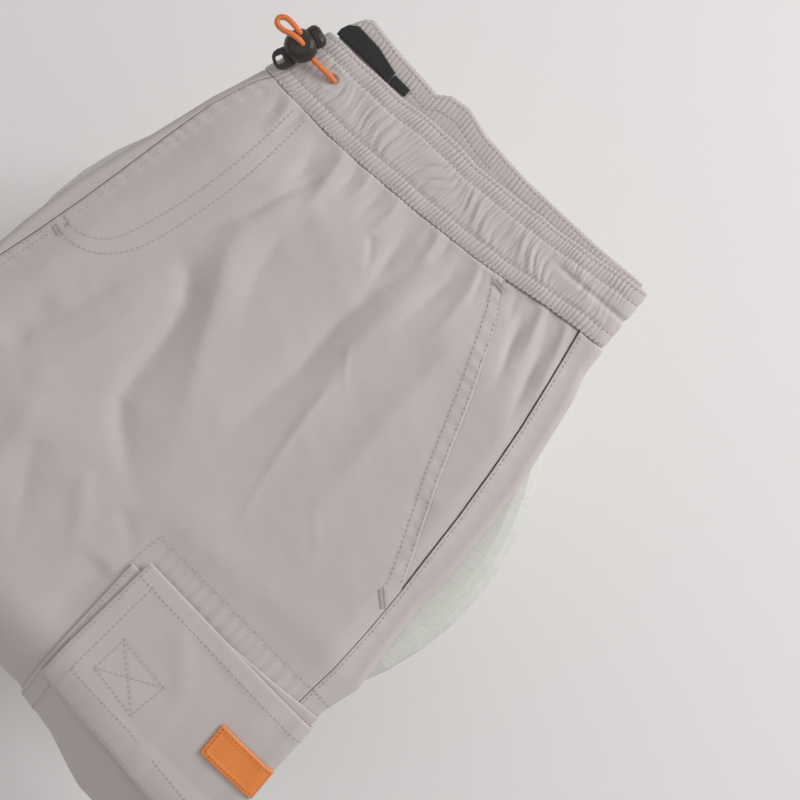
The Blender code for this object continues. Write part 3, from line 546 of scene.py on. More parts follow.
def stand_material():
    """Pale whitewash with faint strokes of grain."""
    made, shader, start = new_material("whitewashed_stand", 0.62)
    place = start.node("ShaderNodeTexCoord", out=3)
    strokes = place.stretched(0.16, 1.6, 1.0).noise(420.0, 4.0, 0.65)
    clouds = place.noise(9.0, 2.0)
    tone = (strokes - 0.5) * 1.1 + (clouds - 0.5) * 0.3 + 0.5
    feed(tone.colours((0.60, 0.60, 0.55), (0.76, 0.77, 0.72)), shader, "Base Color")
    feed(strokes.bump(0.0004, 0.5), shader, "Normal")
    return made


# Camera and light

def camera_and_light():
    turn = math.radians(40.0)
    lens, sensor, width, top = 85.0, 36.0, 0.392, 0.251
    camera = in_scene("camera", bpy.data.cameras.new("camera"))
    camera.data.lens = lens
    camera.data.sensor_width = sensor
    camera.location = (0.0533, 0.0511, top + width * lens / sensor)
    camera.rotation_euler = (0.0, 0.0, turn)
    bpy.context.scene.camera = camera
    right = Vector((math.cos(turn), math.sin(turn), 0.0))
    up = Vector((-math.sin(turn), math.cos(turn), 0.0))
    centre = Vector((0.03, 0.0, 0.2))
    lamps = (
        ("key", right * 1.7 + up * 0.45 + Vector((0.0, 0.0, 0.95)), 0.9, 24.0),
        ("fill", right * -0.6 + up * 0.5 + Vector((0.0, 0.0, 2.1)), 2.4, 6.0),
    )
    for name, place, size, power in lamps:
        lamp = bpy.data.lights.new(name, "AREA")
        lamp.size = size
        lamp.energy = power
        thing = in_scene(name, lamp)
        thing.location = centre + place
        thing.rotation_euler = (-place).to_track_quat("-Z", "Y").to_euler()
    world = bpy.data.worlds.new("studio")
    world.use_nodes = True
    world.node_tree.nodes["Background"].inputs["Color"].default_value = (1.0, 0.985, 0.98, 1.0)
    world.node_tree.nodes["Background"].inputs["Strength"].default_value = 0.42
    bpy.context.scene.world = world
    bpy.context.scene.view_settings.view_transform = "Standard"


def floor():
    made, shader, _ = new_material("studio_floor", 0.9)
    shader.inputs["Base Color"].default_value = (0.86, 0.845, 0.84, 1.0)
    size = 3.0
    mesh = bpy.data.meshes.new("floor")
    corners = [(-size, -size, 0), (size, -size, 0), (size, size, 0), (-size, size, 0)]
    mesh.from_pydata(corners, [], [(0, 1, 2, 3)])
    mesh.materials.append(made)
    in_scene("floor", mesh)


# The cord

def smooth_route(points, count):
    """Points evenly along a smooth curve through the given ones."""
    points = np.array(points, float)
    padded = np.vstack([2 * points[0] - points[1], points, 2 * points[-1] - points[-2]])
    fine = []
    for i in range(1, len(padded) - 2):
        p0, p1, p2, p3 = padded[i - 1 : i + 3]
        for t in np.linspace(0.0, 1.0, 16, endpoint=False):
            square = 2 * p0 - 5 * p1 + 4 * p2 - p3
            cube = 3 * p1 - p0 - 3 * p2 + p3
            fine.append(0.5 * (2 * p1 + (p2 - p0) * t + square * t**2 + cube * t**3))
    fine.append(points[-1])
    fine = np.array(fine)
    length = np.concatenate([[0.0], np.cumsum(np.linalg.norm(np.diff(fine, axis=0), axis=1))])
    even = np.linspace(0.0, length[-1], count)
    return np.stack([np.interp(even, length, fine[:, k]) for k in range(3)], axis=-1)


def drawcord(paint):
    route = smooth_route((CORD_IN_EYELET,) + CORD_ROUTE, 60)
    points = bend(route[:, 0], route[:, 1], route[:, 2]) * MM
    curve = bpy.data.curves.new("elastic_cord", "CURVE")
    curve.dimensions = "3D"
    curve.bevel_depth = CORD_DIAMETER / 2.0 * MM
    curve.bevel_resolution = 5
    curve.use_fill_caps = True
    spline = curve.splines.new("POLY")
    spline.points.add(len(points) - 1)
    for point, place in zip(spline.points, points):
        point.co = (*place, 1.0)
    spline.use_smooth = True
    curve.materials.append(paint)
    made = in_scene("elastic_cord", curve)
    length = float(np.sum(np.linalg.norm(np.diff(points, axis=0), axis=1)))
    print("cord length", round(length, 4))
    return made, points, length


def settle(piece, slot, *nodes):
    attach(piece, "root")
    if nodes:
        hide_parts(*nodes)


# The panels

def front_edge(d):
    """The centre seam above the crotch, and the inseam round the fold's edge below it."""
    seam = np.maximum(station(d, 2), left_arc(d, 15.0))
    return seam + (left_arc(d, 62.0) - seam) * ease(d, CROTCH - 6.0, CROTCH + 16.0)


def other_front_edge(d):
    seam = np.maximum(station(d, 2), left_arc(d, 15.0)) - GAP
    return seam + (left_arc(d, 118.0) - seam) * ease(d, CROTCH - 6.0, CROTCH + 16.0)


def pocket_side(d):
    edge = np.minimum(along(POCKET_EDGE, d), station(d, 3) - GAP)
    return np.where(d < POCKET_END, edge, station(d, 3) - GAP / 2.0)


def sagged(g, row):
    """Depth of a panel row: the first rows follow the sag of the waistband seam."""
    return row + (along(SEAM_SAG, g) + GAP / 2.0) * np.maximum(0.0, 1.0 - row / 60.0)


J_STITCH = ((8.5, 33.0), (60.0, 27.0), (88.0, 19.0), (107.0, 12.0), (119.5, 2.4), (126.0, -8.5))


def fly_area(g, d):
    """1 over the doubled cloth of the fly."""
    return ease(along(J_STITCH, d) - g, -0.9, 0.9) * ease(126.5 - d, -0.9, 0.9)


def panel(name, rows, columns, run, paint, relief=None, off=0.0):
    """A fine wall of cloth: run(row depths, shares) gives the runs of cloth."""
    share = spread(0.0, 1.0, columns)[None, :]
    row = np.asarray(rows, float)[:, None]
    g = run(np.maximum(row, 0.0), share)
    d = sagged(g, row)
    outer = np.full(g.shape, off)
    if relief is not None:
        outer = outer + relief(g, d)
    tucked = -1.6 * (1.0 - ease(row, -1.0, 1.1))
    outer = outer + tucked
    width = np.abs(g[:, -1:] - g[:, :1])
    ends = np.minimum(row - row[0, 0], row[-1, 0] - row) + 0.3
    edge = np.minimum(np.minimum(share, 1.0 - share) * width, ends)
    outer = turned_edge(outer, edge, 1.0, 0.4)
    inner = skin(g, d, off - CLOTH_THICKNESS + tucked + 0.0 * g)
    return cloth_wall(name, skin(g, d, outer), inner, g, d, paint)


def hem_band(d):
    return 0.45 * ease(d, HEM - 23.2, HEM - 22.0)


def fine_rows(start, end, step):
    return np.linspace(start, end, int((end - start) / step) + 1)


def front_left(paint):
    rows = np.concatenate([TOP_ROWS, fine_rows(1.4, 60.0, 1.4), fine_rows(61.9, HEM, 2.2)])

    def run(row, share):
        low = front_edge(row)
        return low + (pocket_side(row) - low) * share

    def relief(g, d):
        seam = station(d, 2)
        fell = 0.3 * ease(g - seam, 0.0, 0.8) * (1.0 - ease(g - seam, 5.6, 6.6))
        fell = fell * (1.0 - ease(d, 228.0, 236.0))
        pocket = pocket_side(d)
        facing = 0.3 * ease(g - pocket, -8.4, -7.4) * (1.0 - ease(d, POCKET_END - 2.0, POCKET_END + 2.0))
        near_pocket = np.exp(-(((g - pocket + 4.0) / 6.0) ** 2)) * (d < POCKET_END)
        near = np.exp(-(((g - seam - 3.0) / 5.0) ** 2)) + near_pocket
        pucker = 0.22 * near * np.sin(d / 1.15 + 2.0 * np.sin(d / 9.0))
        frame_row = 208.0 + 0.0975 * (g - 110.0)
        gathered = ease(g, 108.0, 116.0) * ease(d - frame_row, -1.0, 3.0) * (1.0 - ease(d, 236.0, 242.0))
        gathers = 0.42 * gathered * np.sin(g / 1.0 + 1.6 * np.sin(g / 7.0) + d / 14.0)
        return fell + facing + 0.3 * fly_area(g, d) + pucker + gathers + hem_band(d)

    piece = panel("front_left_cloth", rows, 150, run, paint, relief)
    settle(piece, "cloth", "front_left")
    return piece


def front_right(paint):
    rows = np.concatenate([TOP_ROWS, fine_rows(1.4, HEM, 3.2)])

    def run(row, share):
        top = other_front_edge(row)
        low = left_arc(row, 180.0) - (station(row, 4) - 60.0 - left_start(row))
        bent = np.where(share < 0.42, share / 0.42 * 0.16, 0.16 + (share - 0.42) / 0.58 * 0.84)
        return top + (low - top) * bent

    piece = panel("front_right_cloth", rows, 90, run, paint)
    settle(piece, "cloth", "front_right")
    return piece


def back_left(paint):
    rows = np.concatenate([TOP_ROWS, fine_rows(1.4, HEM, 2.4)])

    def run(row, share):
        low = station(row, 3) + GAP / 2.0
        return low + (right_arc(row, 180.0) + 20.0 - low) * share

    def relief(g, d):
        side = station(d, 3)
        pucker = 0.18 * np.exp(-(((g - side - 2.0) / 4.0) ** 2)) * np.sin(d / 1.2 + 2.0 * np.sin(d / 8.0))
        return 0.2 * (1.0 - ease(g - side, 3.6, 4.6)) + pucker + hem_band(d)

    piece = panel("back_left_cloth", rows, 44, run, paint, relief)
    settle(piece, "cloth", "back_left")
    return piece


def pocket_facing(paint):
    rows = np.concatenate([TOP_ROWS[:3], fine_rows(1.0, 166.0, 1.6)])

    def run(row, share):
        low = along(POCKET_EDGE, row) - 11.0
        return low + (station(row, 3) - GAP - low) * share

    piece = panel("pocket_facing_cloth", rows, 40, run, paint, None, -WALL + 0.1)
    settle(piece, "cloth", "pocket_facing")
    return piece


def inner_layers(paint):
    """The hidden layers: left back, right back and the right front's own edge, as three thin sheets."""
    made = []
    rows = fine_rows(10.5, HEM - 4.0, 4.5)
    for number in range(3):
        share = spread(0.0, 1.0, 70)[None, :]
        d = rows[:, None] - 1.2 * number + 0.0 * share
        left, right = station(d, 1), station(d, 4)
        lift = station(d, 6) * ease(share, 0.72, 0.86)
        low = lift + 1.7
        high = station(d, 5) - 3.4
        reach = 2.2 + 0.9 * (number == 1)
        g = left + reach + (right - left - reach - 3.0) * share
        middle = low + (high - low) * (0.2 + 0.3 * number) + 0.3 * uneven(g, d, 30.0, number)
        half = np.minimum(0.5, (high - low) * 0.12)
        outer = bend(g, d, middle + half)
        inner = bend(g, d, middle - half)
        made.append(cloth_wall(f"layer_{number}", outer, inner, g, d, paint))
    piece = join("hidden_layers_cloth", made, paint)
    settle(piece, "cloth_inside", "inner_layers")
    return piece


# The waistband

def gather_wave(share, row):
    """Gathers of the elastic band: tight pleats along its edges, slanted wrinkles in the channel between."""
    x = share * BAND_RUN
    y = row * BAND_HEIGHT
    drift = 0.9 * np.sin(x / 8.9 + 0.8) + 0.6 * np.sin(x / 3.4 + 2.0) + 0.35 * np.sin(y / 2.6 + x / 5.0)
    tight = np.abs(np.sin(math.pi * BAND_GATHERS * share + drift)) ** 0.65
    tight = tight * (0.75 + 0.25 * np.sin(x / 4.3 + y / 5.0))
    slant = 0.30 + 0.28 * np.sin(x / 21.0 + 0.6) + 0.2 * np.sin(x / 7.7)
    across = x + slant * (y - 17.0) + 1.6 * np.sin(y / 5.5 + x / 13.0) + 0.8 * np.sin(y / 2.7 + x / 6.0)
    wide = np.abs(np.sin(across / 2.35 + 1.5 * np.sin(across / 9.0 + 1.0) + 0.8 * np.sin(y / 6.0))) ** 0.75
    wide = wide * (0.62 + 0.38 * np.sin(across / 5.1 + y / 7.0 + 1.0))
    minor = np.abs(np.sin(across / 1.25 - y / 9.0 + 1.2 * np.sin(x / 6.1))) ** 0.8
    channel = np.sin(math.pi * np.clip((row - 0.215) / 0.56, 0.0, 1.0)) ** 0.6
    return tight * (1.0 - 0.9 * channel) * 0.8 + (wide + 0.28 * minor) * channel


def row_groove(row, places, width=0.03):
    """1 along the stitched rows, where the band is drawn in."""
    total = 0.0
    for place in places:
        total = total + np.exp(-(((row - place) / width) ** 2))
    return np.minimum(total, 1.0)


def band_front(paint):
    radius = BAND_STACK / 2.0
    row = np.linspace(0.0, 1.0, 54)[:, None]
    share = np.linspace(0.0, 1.0, BAND_GATHERS * 8 + 1)[None, :]
    left = along(BAND_LEFT, -BAND_HEIGHT * row)
    low, high = left + radius, BAND_RIGHT - radius
    arcs = np.radians(np.linspace(180.0, 8.0, 22))[None, :]
    parts = (
        low - math.pi * radius - 14.0, low - radius * arcs, low + (high - low) * share,
        high + radius * arcs[:, ::-1] + 0.0 * row, high + math.pi * radius + 14.0 + 0.0 * row,
    )
    g = np.concatenate(parts, axis=1)
    ends = np.minimum(1.0, np.minimum(share, 1.0 - share) / 0.02)
    core = gather_wave(share, row) * (0.35 + 0.65 * ends)
    beyond = np.arange(1, 23)[None, :] * 0.0016
    arc_left = 0.35 * gather_wave(-beyond, row)[:, ::-1]
    arc_right = 0.35 * gather_wave(1.0 + beyond, row)
    blank = np.zeros((len(row), 1))
    raised = np.concatenate([blank, arc_left, core, arc_right, blank], axis=1)
    groove = row_groove(row, BAND_ROWS)
    raised = 1.25 * raised * (1.0 - 0.4 * groove) - 0.2 * groove
    raised = raised - 0.55 * np.exp(-((np.minimum(row, 1.0 - row) / 0.018) ** 2))
    reach = np.clip(g, left, BAND_RIGHT)
    seam = along(SEAM_SAG, reach) - GAP / 2.0
    wavy = 0.5 * uneven(g, 0.0 * g, 9.0, 1.0) * ease(row, 0.9, 1.0)
    wavy = wavy + 0.3 * np.sin(g / 0.46 + 1.3 * np.sin(g / 5.3)) * (1.0 - ease(row, 0.0, 0.05))
    d = seam + (along(BAND_TOP, reach) - seam) * row + wavy
    eyelet = np.hypot((g - EYELET[0]) / 1.25, d - EYELET[1])
    ring = 0.5 * np.exp(-(((eyelet - 3.0) / 0.9) ** 2))
    raised = raised * ease(eyelet, 2.4, 6.5) + ring - 1.5 * (1.0 - ease(eyelet, 1.2, 2.2))
    raised = raised - 1.1 * np.exp(-(((d + 17.0) / 1.6) ** 2)) * ease(g, 168.0, 180.0)
    a, h = section(g, raised, left, BAND_RIGHT, BAND_STACK, 0.0)
    outer = bend(a, d, h)
    a, h = section(g, -BAND_WALL + 0.6 + 0.0 * g, left, BAND_RIGHT, BAND_STACK, 0.0)
    inner = bend(a, d, h)
    piece = cloth_wall("waistband_front_cloth", outer, inner, g, d, paint)
    settle(piece, "cloth", "waistband_front")
    return piece


def back_edge(a):
    return along(BACK_BAND_TOP, a)


def band_back(paint):
    """The back waistband: two thick layers, the upper one's ribbed inner face showing."""
    made = []
    for number in range(2):
        a = np.linspace(18.8 + 0.6 * number, 211.5, 620 if number == 0 else 160)[None, :]
        share = np.linspace(0.0, 1.0, 40)[:, None]
        top = back_edge(a) + 1.0 * number
        seam = np.minimum(along(SEAM_SAG, a) - 1.0, 0.0)
        d = seam + (top - seam) * share
        base = BACK_BAND_LOW if number else (BACK_BAND_LOW + BACK_BAND_HIGH) / 2.0 + 0.15
        thick = (BACK_BAND_HIGH - BACK_BAND_LOW) / 2.0 - 0.15
        from_top = d - top
        phase = 2.0 * math.pi * (a - 10.0) / RIB_PITCH + 1.0 * np.sin(a / 9.0) + 0.7 * np.sin(a / 3.7)
        ribs = np.abs(np.cos(phase / 2.0)) ** 0.8 * (0.75 + 0.25 * np.sin(a / 2.9))
        loose = ease(from_top, 9.5, 11.0)
        ribs = ribs * (1.0 - 0.5 * loose)
        groove = np.exp(-(((from_top - BACK_ROWS[0]) / 0.55) ** 2))
        groove = groove + np.exp(-(((from_top - BACK_ROWS[1]) / 0.6) ** 2))
        raised = 0.62 * ribs * (1.0 - 0.6 * groove) - 0.15 * groove
        rounded = 0.9 * np.exp(-((from_top / 0.8) ** 2))
        wavy = 0.22 * np.cos(phase) * ease(share, 0.94, 1.0)
        outer = bend(a + 0.0 * d, d + wavy, base + thick - 0.6 + raised - rounded)
        inner = bend(a + 0.0 * d, d + wavy, base + 0.45 * np.exp(-((from_top / 0.8) ** 2)) + 0.0 * d)
        made.append(cloth_wall(f"band_back_{number}", outer, inner, a + 0.0 * d, d, paint))
    piece = join("waistband_back_cloth", made, paint)
    settle(piece, "cloth_inside", "waistband_back")
    return piece


# The cargo pocket

def flap_depth(g, share):
    """Depth of the flap's point at a run of cloth g, share of its way down."""
    top = FLAP_TOP_LEFT[1] + FLAP_TOP_SLOPE * (g - FLAP_TOP_LEFT[0])
    low = FLAP_LOW_LEFT[1] + FLAP_LOW_SLOPE * (g - FLAP_LOW_LEFT[0])
    return top + (low - top) * share


def flap_off(d):
    return FLAP_OFF + 1.6 * ease(d, 262.0, 308.0)


def under_share(g, d):
    return ease(g, right_arc(d, 60.0), right_arc(d, 170.0))


def flap_lift(g, d):
    """Height of the flap's underside over the skin."""
    return flap_off(d) * (1.0 - under_share(g, d)) + 2.35 * under_share(g, d)


def cargo_flap(paint):
    share = spread(0.0, 1.0, 64)[:, None]
    across = spread(0.0, 1.0, 110)[None, :]
    left = FLAP_TOP_LEFT[0] + (FLAP_LOW_LEFT[0] - FLAP_TOP_LEFT[0]) * share
    end = right_arc(flap_depth(220.0, share), 180.0) + FLAP_UNDER
    g = left + (end - left) * across
    d = flap_depth(g, share)
    from_ends = np.minimum(share, 1.0 - share) * FLAP_HEIGHT
    edge = np.minimum(np.minimum(across, 1.0 - across) * FLAP_WIDTH, from_ends)
    inside = np.minimum(g - left, from_ends)
    thick = 0.25 * (1.0 - ease(inside, 9.4, 10.6))
    puckers = 0.16 * np.sin(g / 1.3 + 2.0 * np.sin(d / 6.0)) * (1.0 - ease(inside, 6.0, 14.0))
    waves = 0.55 * uneven(g, d, 13.0, 4.0) * ease(inside, 4.0, 16.0) + puckers
    soft = 0.5 * np.exp(-((away_from(g, d, ((150, 240), (168, 262), (172, 300))) / 5.0) ** 2))
    outer = turned_edge(flap_lift(g, d) + FLAP_WALL - 0.15 + thick + 0.5 * waves + soft, edge, 1.2, 0.55)
    inner = flap_lift(g, d) + 0.35 + 0.0 * g
    piece = cloth_wall("cargo_flap_cloth", skin(g, d, outer), skin(g, d, inner), g, d, paint)
    settle(piece, "cloth", "cargo_flap")
    return piece


def cargo_pocket(paint):
    row = spread(POCKET_TOP, POCKET_LOW, 92)[:, None]
    share = spread(0.0, 1.0, 100)[None, :]
    left = along(POCKET_LEFT, row) + 3.0 * ease(row, POCKET_LOW - 8.0, POCKET_LOW)
    end = right_arc(row, 180.0) + POCKET_UNDER - 3.0 * ease(row, POCKET_LOW - 8.0, POCKET_LOW)
    g = left + (end - left) * share
    d = row + 0.0 * g
    puffed = 2.2 * ease(d, 310.0, 350.0) * (1.0 - ease(d, 380.0, 405.0))
    puffed = puffed * ease(g, left, left + 22.0) * (1.0 - ease(g, right_end(d) - 12.0, right_end(d) + 4.0))
    edge = np.minimum((g - left), np.minimum(end - g, np.minimum(row - POCKET_TOP, POCKET_LOW - row)))
    side = g - left
    pucker = 0.35 * np.exp(-(((side - 7.0) / 7.0) ** 2)) * np.sin(d / 1.4 + 1.5 * np.sin(d / 7.0))
    waves = 0.4 * uneven(g, d, 15.0, 6.0) * ease(edge, 6.0, 24.0)
    fell = 0.3 * (1.0 - ease(side, 10.2, 11.2))
    outer = turned_edge(POCKET_OFF + WALL - 0.2 + puffed + fell + 0.5 * pucker + waves, edge, 1.2, 0.6)
    inner = skin(g, d, POCKET_OFF + 0.2 + 0.0 * g)
    piece = cloth_wall("cargo_pocket_cloth", skin(g, d, outer), inner, g, d, paint)
    settle(piece, "cloth", "cargo_pocket")
    return piece


def patch_grid():
    down = spread(0.0, 1.0, 26)[:, None]
    across = spread(0.0, 1.0, 44)[None, :]
    middle = PATCH_TOP + PATCH_SLOPE * 14.0 + PATCH_HEIGHT * down
    end = right_arc(middle, 55.0)
    g = PATCH_LEFT + (end - PATCH_LEFT) * across
    d = PATCH_TOP + PATCH_SLOPE * (g - PATCH_LEFT) + PATCH_HEIGHT * down
    return down, across, g, d


def rubber_patch(paint):
    """The moulded rubber patch: a raised rim round a bare field."""
    down, across, g, d = patch_grid()
    from_ends = np.minimum(down, 1.0 - down) * PATCH_HEIGHT
    edge = np.minimum(np.minimum(across, 1.0 - across) * PATCH_WIDTH, from_ends)
    base = flap_lift(g, d) + FLAP_WALL + 0.5
    field = 0.3 * ease(edge, 2.9, 3.4)
    channel = 0.22 * np.exp(-(((edge - 1.7) / 0.35) ** 2))
    outer = turned_edge(base + 1.2 - field - channel, edge, 0.9, 0.5)
    piece = cloth_wall("rubber_patch", skin(g, d, outer), skin(g, d, base), g, d, paint)
    settle(piece, "patch", "flap_tab")
    return piece


def woven_tab(name, left, right, top, low, base, thickness, paint, node, ridge):
    a = spread(left, right, 60)[None, :]
    share = spread(0.0, 1.0, 22)[:, None]
    low_edge, top_edge = along(low, a), along(top, a)
    d = low_edge + (top_edge - low_edge) * share
    edge = np.minimum(np.minimum(a - left, right - a), np.minimum(share, 1.0 - share) * 9.0)
    wave = ridge * np.sin((a - left) / (right - left) * math.pi)
    outer = turned_edge(base + thickness + wave, edge, 0.8, 0.5)
    a = a + 0.0 * d
    piece = cloth_wall(name, bend(a, d, outer), bend(a, d, base + wave * 0.6), a, d, paint)
    settle(piece, "label", node)
    return piece


# Stitches

def stitch_tree(length, thick, paint):
    """Geometry nodes that set a short thread along each line at an even pitch."""
    tree = bpy.data.node_groups.new("stitches", "GeometryNodeTree")
    tree.interface.new_socket("Lines", in_out="INPUT", socket_type="NodeSocketGeometry")
    pitch = tree.interface.new_socket("Pitch", in_out="INPUT", socket_type="NodeSocketFloat")
    pitch.default_value = 0.0026
    tree.interface.new_socket("Stitches", in_out="OUTPUT", socket_type="NodeSocketGeometry")
    enter = tree.nodes.new("NodeGroupInput")
    leave = tree.nodes.new("NodeGroupOutput")

    def add(kind, values=(), **settings):
        made = tree.nodes.new(kind)
        for key, value in settings.items():
            setattr(made, key, value)
        for key, value in dict(values).items():
            if hasattr(value, "links"):
                tree.links.new(value, made.inputs[key])
            else:
                made.inputs[key].default_value = value
        return made

    curve = add("GeometryNodeMeshToCurve", {"Mesh": enter.outputs["Lines"]})
    values = {"Curve": curve.outputs["Curve"], "Length": enter.outputs["Pitch"]}
    even = add("GeometryNodeResampleCurve", values, mode="LENGTH")
    tangent = add("GeometryNodeInputTangent")
    turn = add("FunctionNodeAlignRotationToVector", {"Vector": tangent.outputs["Tangent"]}, axis="X")
    thread = add("GeometryNodeMeshUVSphere", {"Segments": 6, "Rings": 4, "Radius": 1.0})
    half_sizes = (length / 2.0, thick / 2.0, thick / 2.0)
    sized = add("GeometryNodeTransform", {"Geometry": thread.outputs["Mesh"], "Scale": half_sizes})
    smooth = add("GeometryNodeSetShadeSmooth", {"Geometry": sized.outputs["Geometry"]})
    values = {
        "Points": even.outputs["Curve"],
        "Instance": smooth.outputs["Geometry"],
        "Rotation": turn.outputs["Rotation"],
    }
    placed = add("GeometryNodeInstanceOnPoints", values)
    real = add("GeometryNodeRealizeInstances", {"Geometry": placed.outputs["Instances"]})
    painted = add("GeometryNodeSetMaterial", {"Geometry": real.outputs["Geometry"]})
    painted.inputs["Material"].default_value = paint
    tree.links.new(painted.outputs["Geometry"], leave.inputs["Stitches"])
    return tree, pitch.identifier


def stitches(name, lines, length, thick, pitch, paint, slot):
    """Rows of stitches along the lines of world points in mm, as one plain mesh."""
    points, edges = [], []
    for line in lines:
        start = len(points)
        points += [tuple(point * MM) for point in line]
        edges += [(i, i + 1) for i in range(start, len(points) - 1)]
    mesh = bpy.data.meshes.new(name + "_lines")
    mesh.from_pydata(points, edges, [])
    guide = in_scene(name + "_lines", mesh)
    tree, identifier = stitch_tree(length * MM, thick * MM, paint)
    step = guide.modifiers.new("stitches", "NODES")
    step.node_group = tree
    step[identifier] = pitch * MM
    evaluated = guide.evaluated_get(bpy.context.evaluated_depsgraph_get())
    plain = bpy.data.meshes.new_from_object(evaluated)
    plain.name = name
    bpy.data.objects.remove(guide, do_unlink=True)
    if not plain.materials:
        plain.materials.append(paint)
    made = in_scene(name, plain)
    settle(made, slot)
    return made


def line_between(points, step=1.0):
    """Points close together along straight runs between the given ones."""
    points = np.array(points, float)
    fine = [points[:1]]
    for p, q in zip(points[:-1], points[1:]):
        count = max(2, int(np.hypot(*(q - p)[:2]) / step) + 1)
        fine.append(p + (q - p) * np.linspace(0.0, 1.0, count)[1:, None])
    return np.concatenate(fine)


def on_cloth(points, off):
    """World points of a stitch line given by its g, d points on the body's skin."""
    line = line_between(points)
    return skin(line[:, 0], line[:, 1], np.full(len(line), off))


def rounded_line(points, passes=3):
    """A smooth line through a few points, by cutting its corners."""
    points = np.array(points, float)
    for _ in range(passes):
        cut = [points[0]]
        for p, q in zip(points[:-1], points[1:]):
            cut += [p * 0.75 + q * 0.25, p * 0.25 + q * 0.75]
        cut.append(points[-1])
        points = np.array(cut)
    return points


def body_stitches():
    thread = 0.22
    lines = []
    for inset, base in ((1.6, 0.3), (5.0, 0.3)):
        depth = np.arange(9.0, 232.0, 3.0)
        lines.append(on_cloth(np.stack([station(depth, 2) + inset, depth], -1), base + thread))
    outer = (
        (33, 8.5), (30.5, 40), (27, 60), (19, 88), (12, 107), (2.4, 119.5), (-8.5, 126), (-20.5, 127),
        (-27, 124.6),
    )
    inner = (
        (25.6, 8.5), (23, 36), (18.4, 60), (7.8, 94), (-0.5, 112), (-10.4, 119.6), (-20.6, 121), (-26, 120.6),
    )
    lines.append(on_cloth(rounded_line(outer), 0.3 + thread))
    lines.append(on_cloth(rounded_line(inner), 0.55 + thread))
    depth = np.arange(8.0, 160.0, 3.0)
    lines.append(on_cloth(np.stack([along(POCKET_EDGE, depth) - 7.6, depth], -1), 0.25 + thread))
    depth = np.arange(3.0, 152.0, 3.0)
    lines.append(on_cloth(np.stack([along(POCKET_EDGE, depth) - 1.3, depth], -1), 0.25 + thread))
    depth = np.arange(3.0, 472.0, 3.0)
    lines.append(on_cloth(np.stack([station(depth, 3) + 1.9, depth], -1), 0.2 + thread))
    frame_line = ((105, 237), (110, 208.4), (216, 218.7), (228, 220.0))
    lines.append(on_cloth(frame_line, 0.5 + thread))
    across = np.linspace(left_arc(455.0, 50.0), right_arc(455.0, 170.0), 120)
    lines.append(skin(across, np.full(120, 454.5), np.full(120, 0.45 + thread)))
    return lines


def flap_stitches():
    """Rows on the flap: one below its top, double rows at its left and lower edges, and a crossed square."""
    thread = 0.35

    def place(points):
        line = line_between(points)
        return skin(line[:, 0], line[:, 1], flap_lift(line[:, 0], line[:, 1]) + FLAP_WALL + thread)

    lines = []

    def row(share, start, end=262.0):
        g = np.linspace(start, end, 70)
        return place(np.stack([g, flap_depth(g, share)], -1))

    lines.append(row(0.115, 115.0))
    lines.append(row(0.972, 109.4))
    lines.append(row(0.86, 118.5))
    for inset in DOUBLE_ROWS:
        share = np.linspace(0.02 if inset < 5 else 0.1, 0.972, 30)
        left = FLAP_TOP_LEFT[0] + (FLAP_LOW_LEFT[0] - FLAP_TOP_LEFT[0]) * share + inset
        lines.append(place(np.stack([left, flap_depth(left, share)], -1)))
    tape = ((129, 258), (158.6, 263.6), (155, 284), (126.5, 278), (129, 258))
    lines.append(place(tape))
    lines.append(place(((129, 258), (155, 284))))
    lines.append(place(((158.6, 263.6), (126.5, 278))))
    return lines


def pocket_stitches():
    lines = []
    for inset in DOUBLE_ROWS:
        depth = np.arange(POCKET_TOP + 4.0, POCKET_LOW - inset, 3.0)
        g = along(POCKET_LEFT, depth) + inset
        lines.append(skin(g, depth, np.full(g.shape, POCKET_OFF + WALL + 0.4)))
    for inset in DOUBLE_ROWS:
        g = np.linspace(106.0 + inset, right_arc(400.0, 60.0), 60)
        depth = np.full(g.shape, POCKET_LOW - inset)
        lines.append(skin(g, depth, np.full(g.shape, POCKET_OFF + WALL + 0.45)))
    return lines


def band_stitches():
    lines = []
    for share in BAND_ROWS:
        left = float(along(BAND_LEFT, -BAND_HEIGHT * share)) + BAND_STACK / 2.0
        g = np.linspace(left - 4.0, BAND_RIGHT - BAND_STACK / 2.0 + 5.0, 420)
        seam = along(SEAM_SAG, g) - GAP / 2.0
        d = seam + (along(BAND_TOP, g) - seam) * share
        passed = (g - left) / (BAND_RIGHT - BAND_STACK / 2.0 - left)
        wave = 0.45 * gather_wave(passed, np.full(g.shape, share))
        a, h = section(g, wave + 0.12, left - BAND_STACK / 2.0, BAND_RIGHT, BAND_STACK, 0.0)
        lines.append(bend(a, d, h))
    for drop in BACK_ROWS:
        a = np.linspace(21.0 + drop * 0.3, 186.0, 400)
        d = back_edge(a) + drop
        keep = d < -33.0
        a, d = a[keep], d[keep]
        if len(a) > 10:
            lines.append(bend(a, d, np.full(a.shape, BACK_BAND_HIGH - 0.25)))
    return lines


def bartacks(paint):
    """Short dense bars of thread at the fly and at the pocket's end."""
    lines = []
    bars = (
        ((-28.4, 120.2), (-22.6, 121.6)), ((-28.8, 125.8), (-23.0, 127.4)),
        ((209.0, 159.0), (216.0, 166.0)), ((154.0, 8.0), (162.0, 9.2)),
    )
    for start, end in bars:
        start, end = np.array(start), np.array(end)
        run = end - start
        side = np.array((-run[1], run[0])) / np.hypot(*run)
        count = int(np.hypot(*run) / 0.45)
        for i in range(count):
            middle = start + run * (i + 0.5) / count
            lines.append(on_cloth((middle - side * 0.9, middle + side * 0.9), 0.55))
    return stitches("bartacks", lines, 2.2, 0.4, 4.0, paint, "cloth")


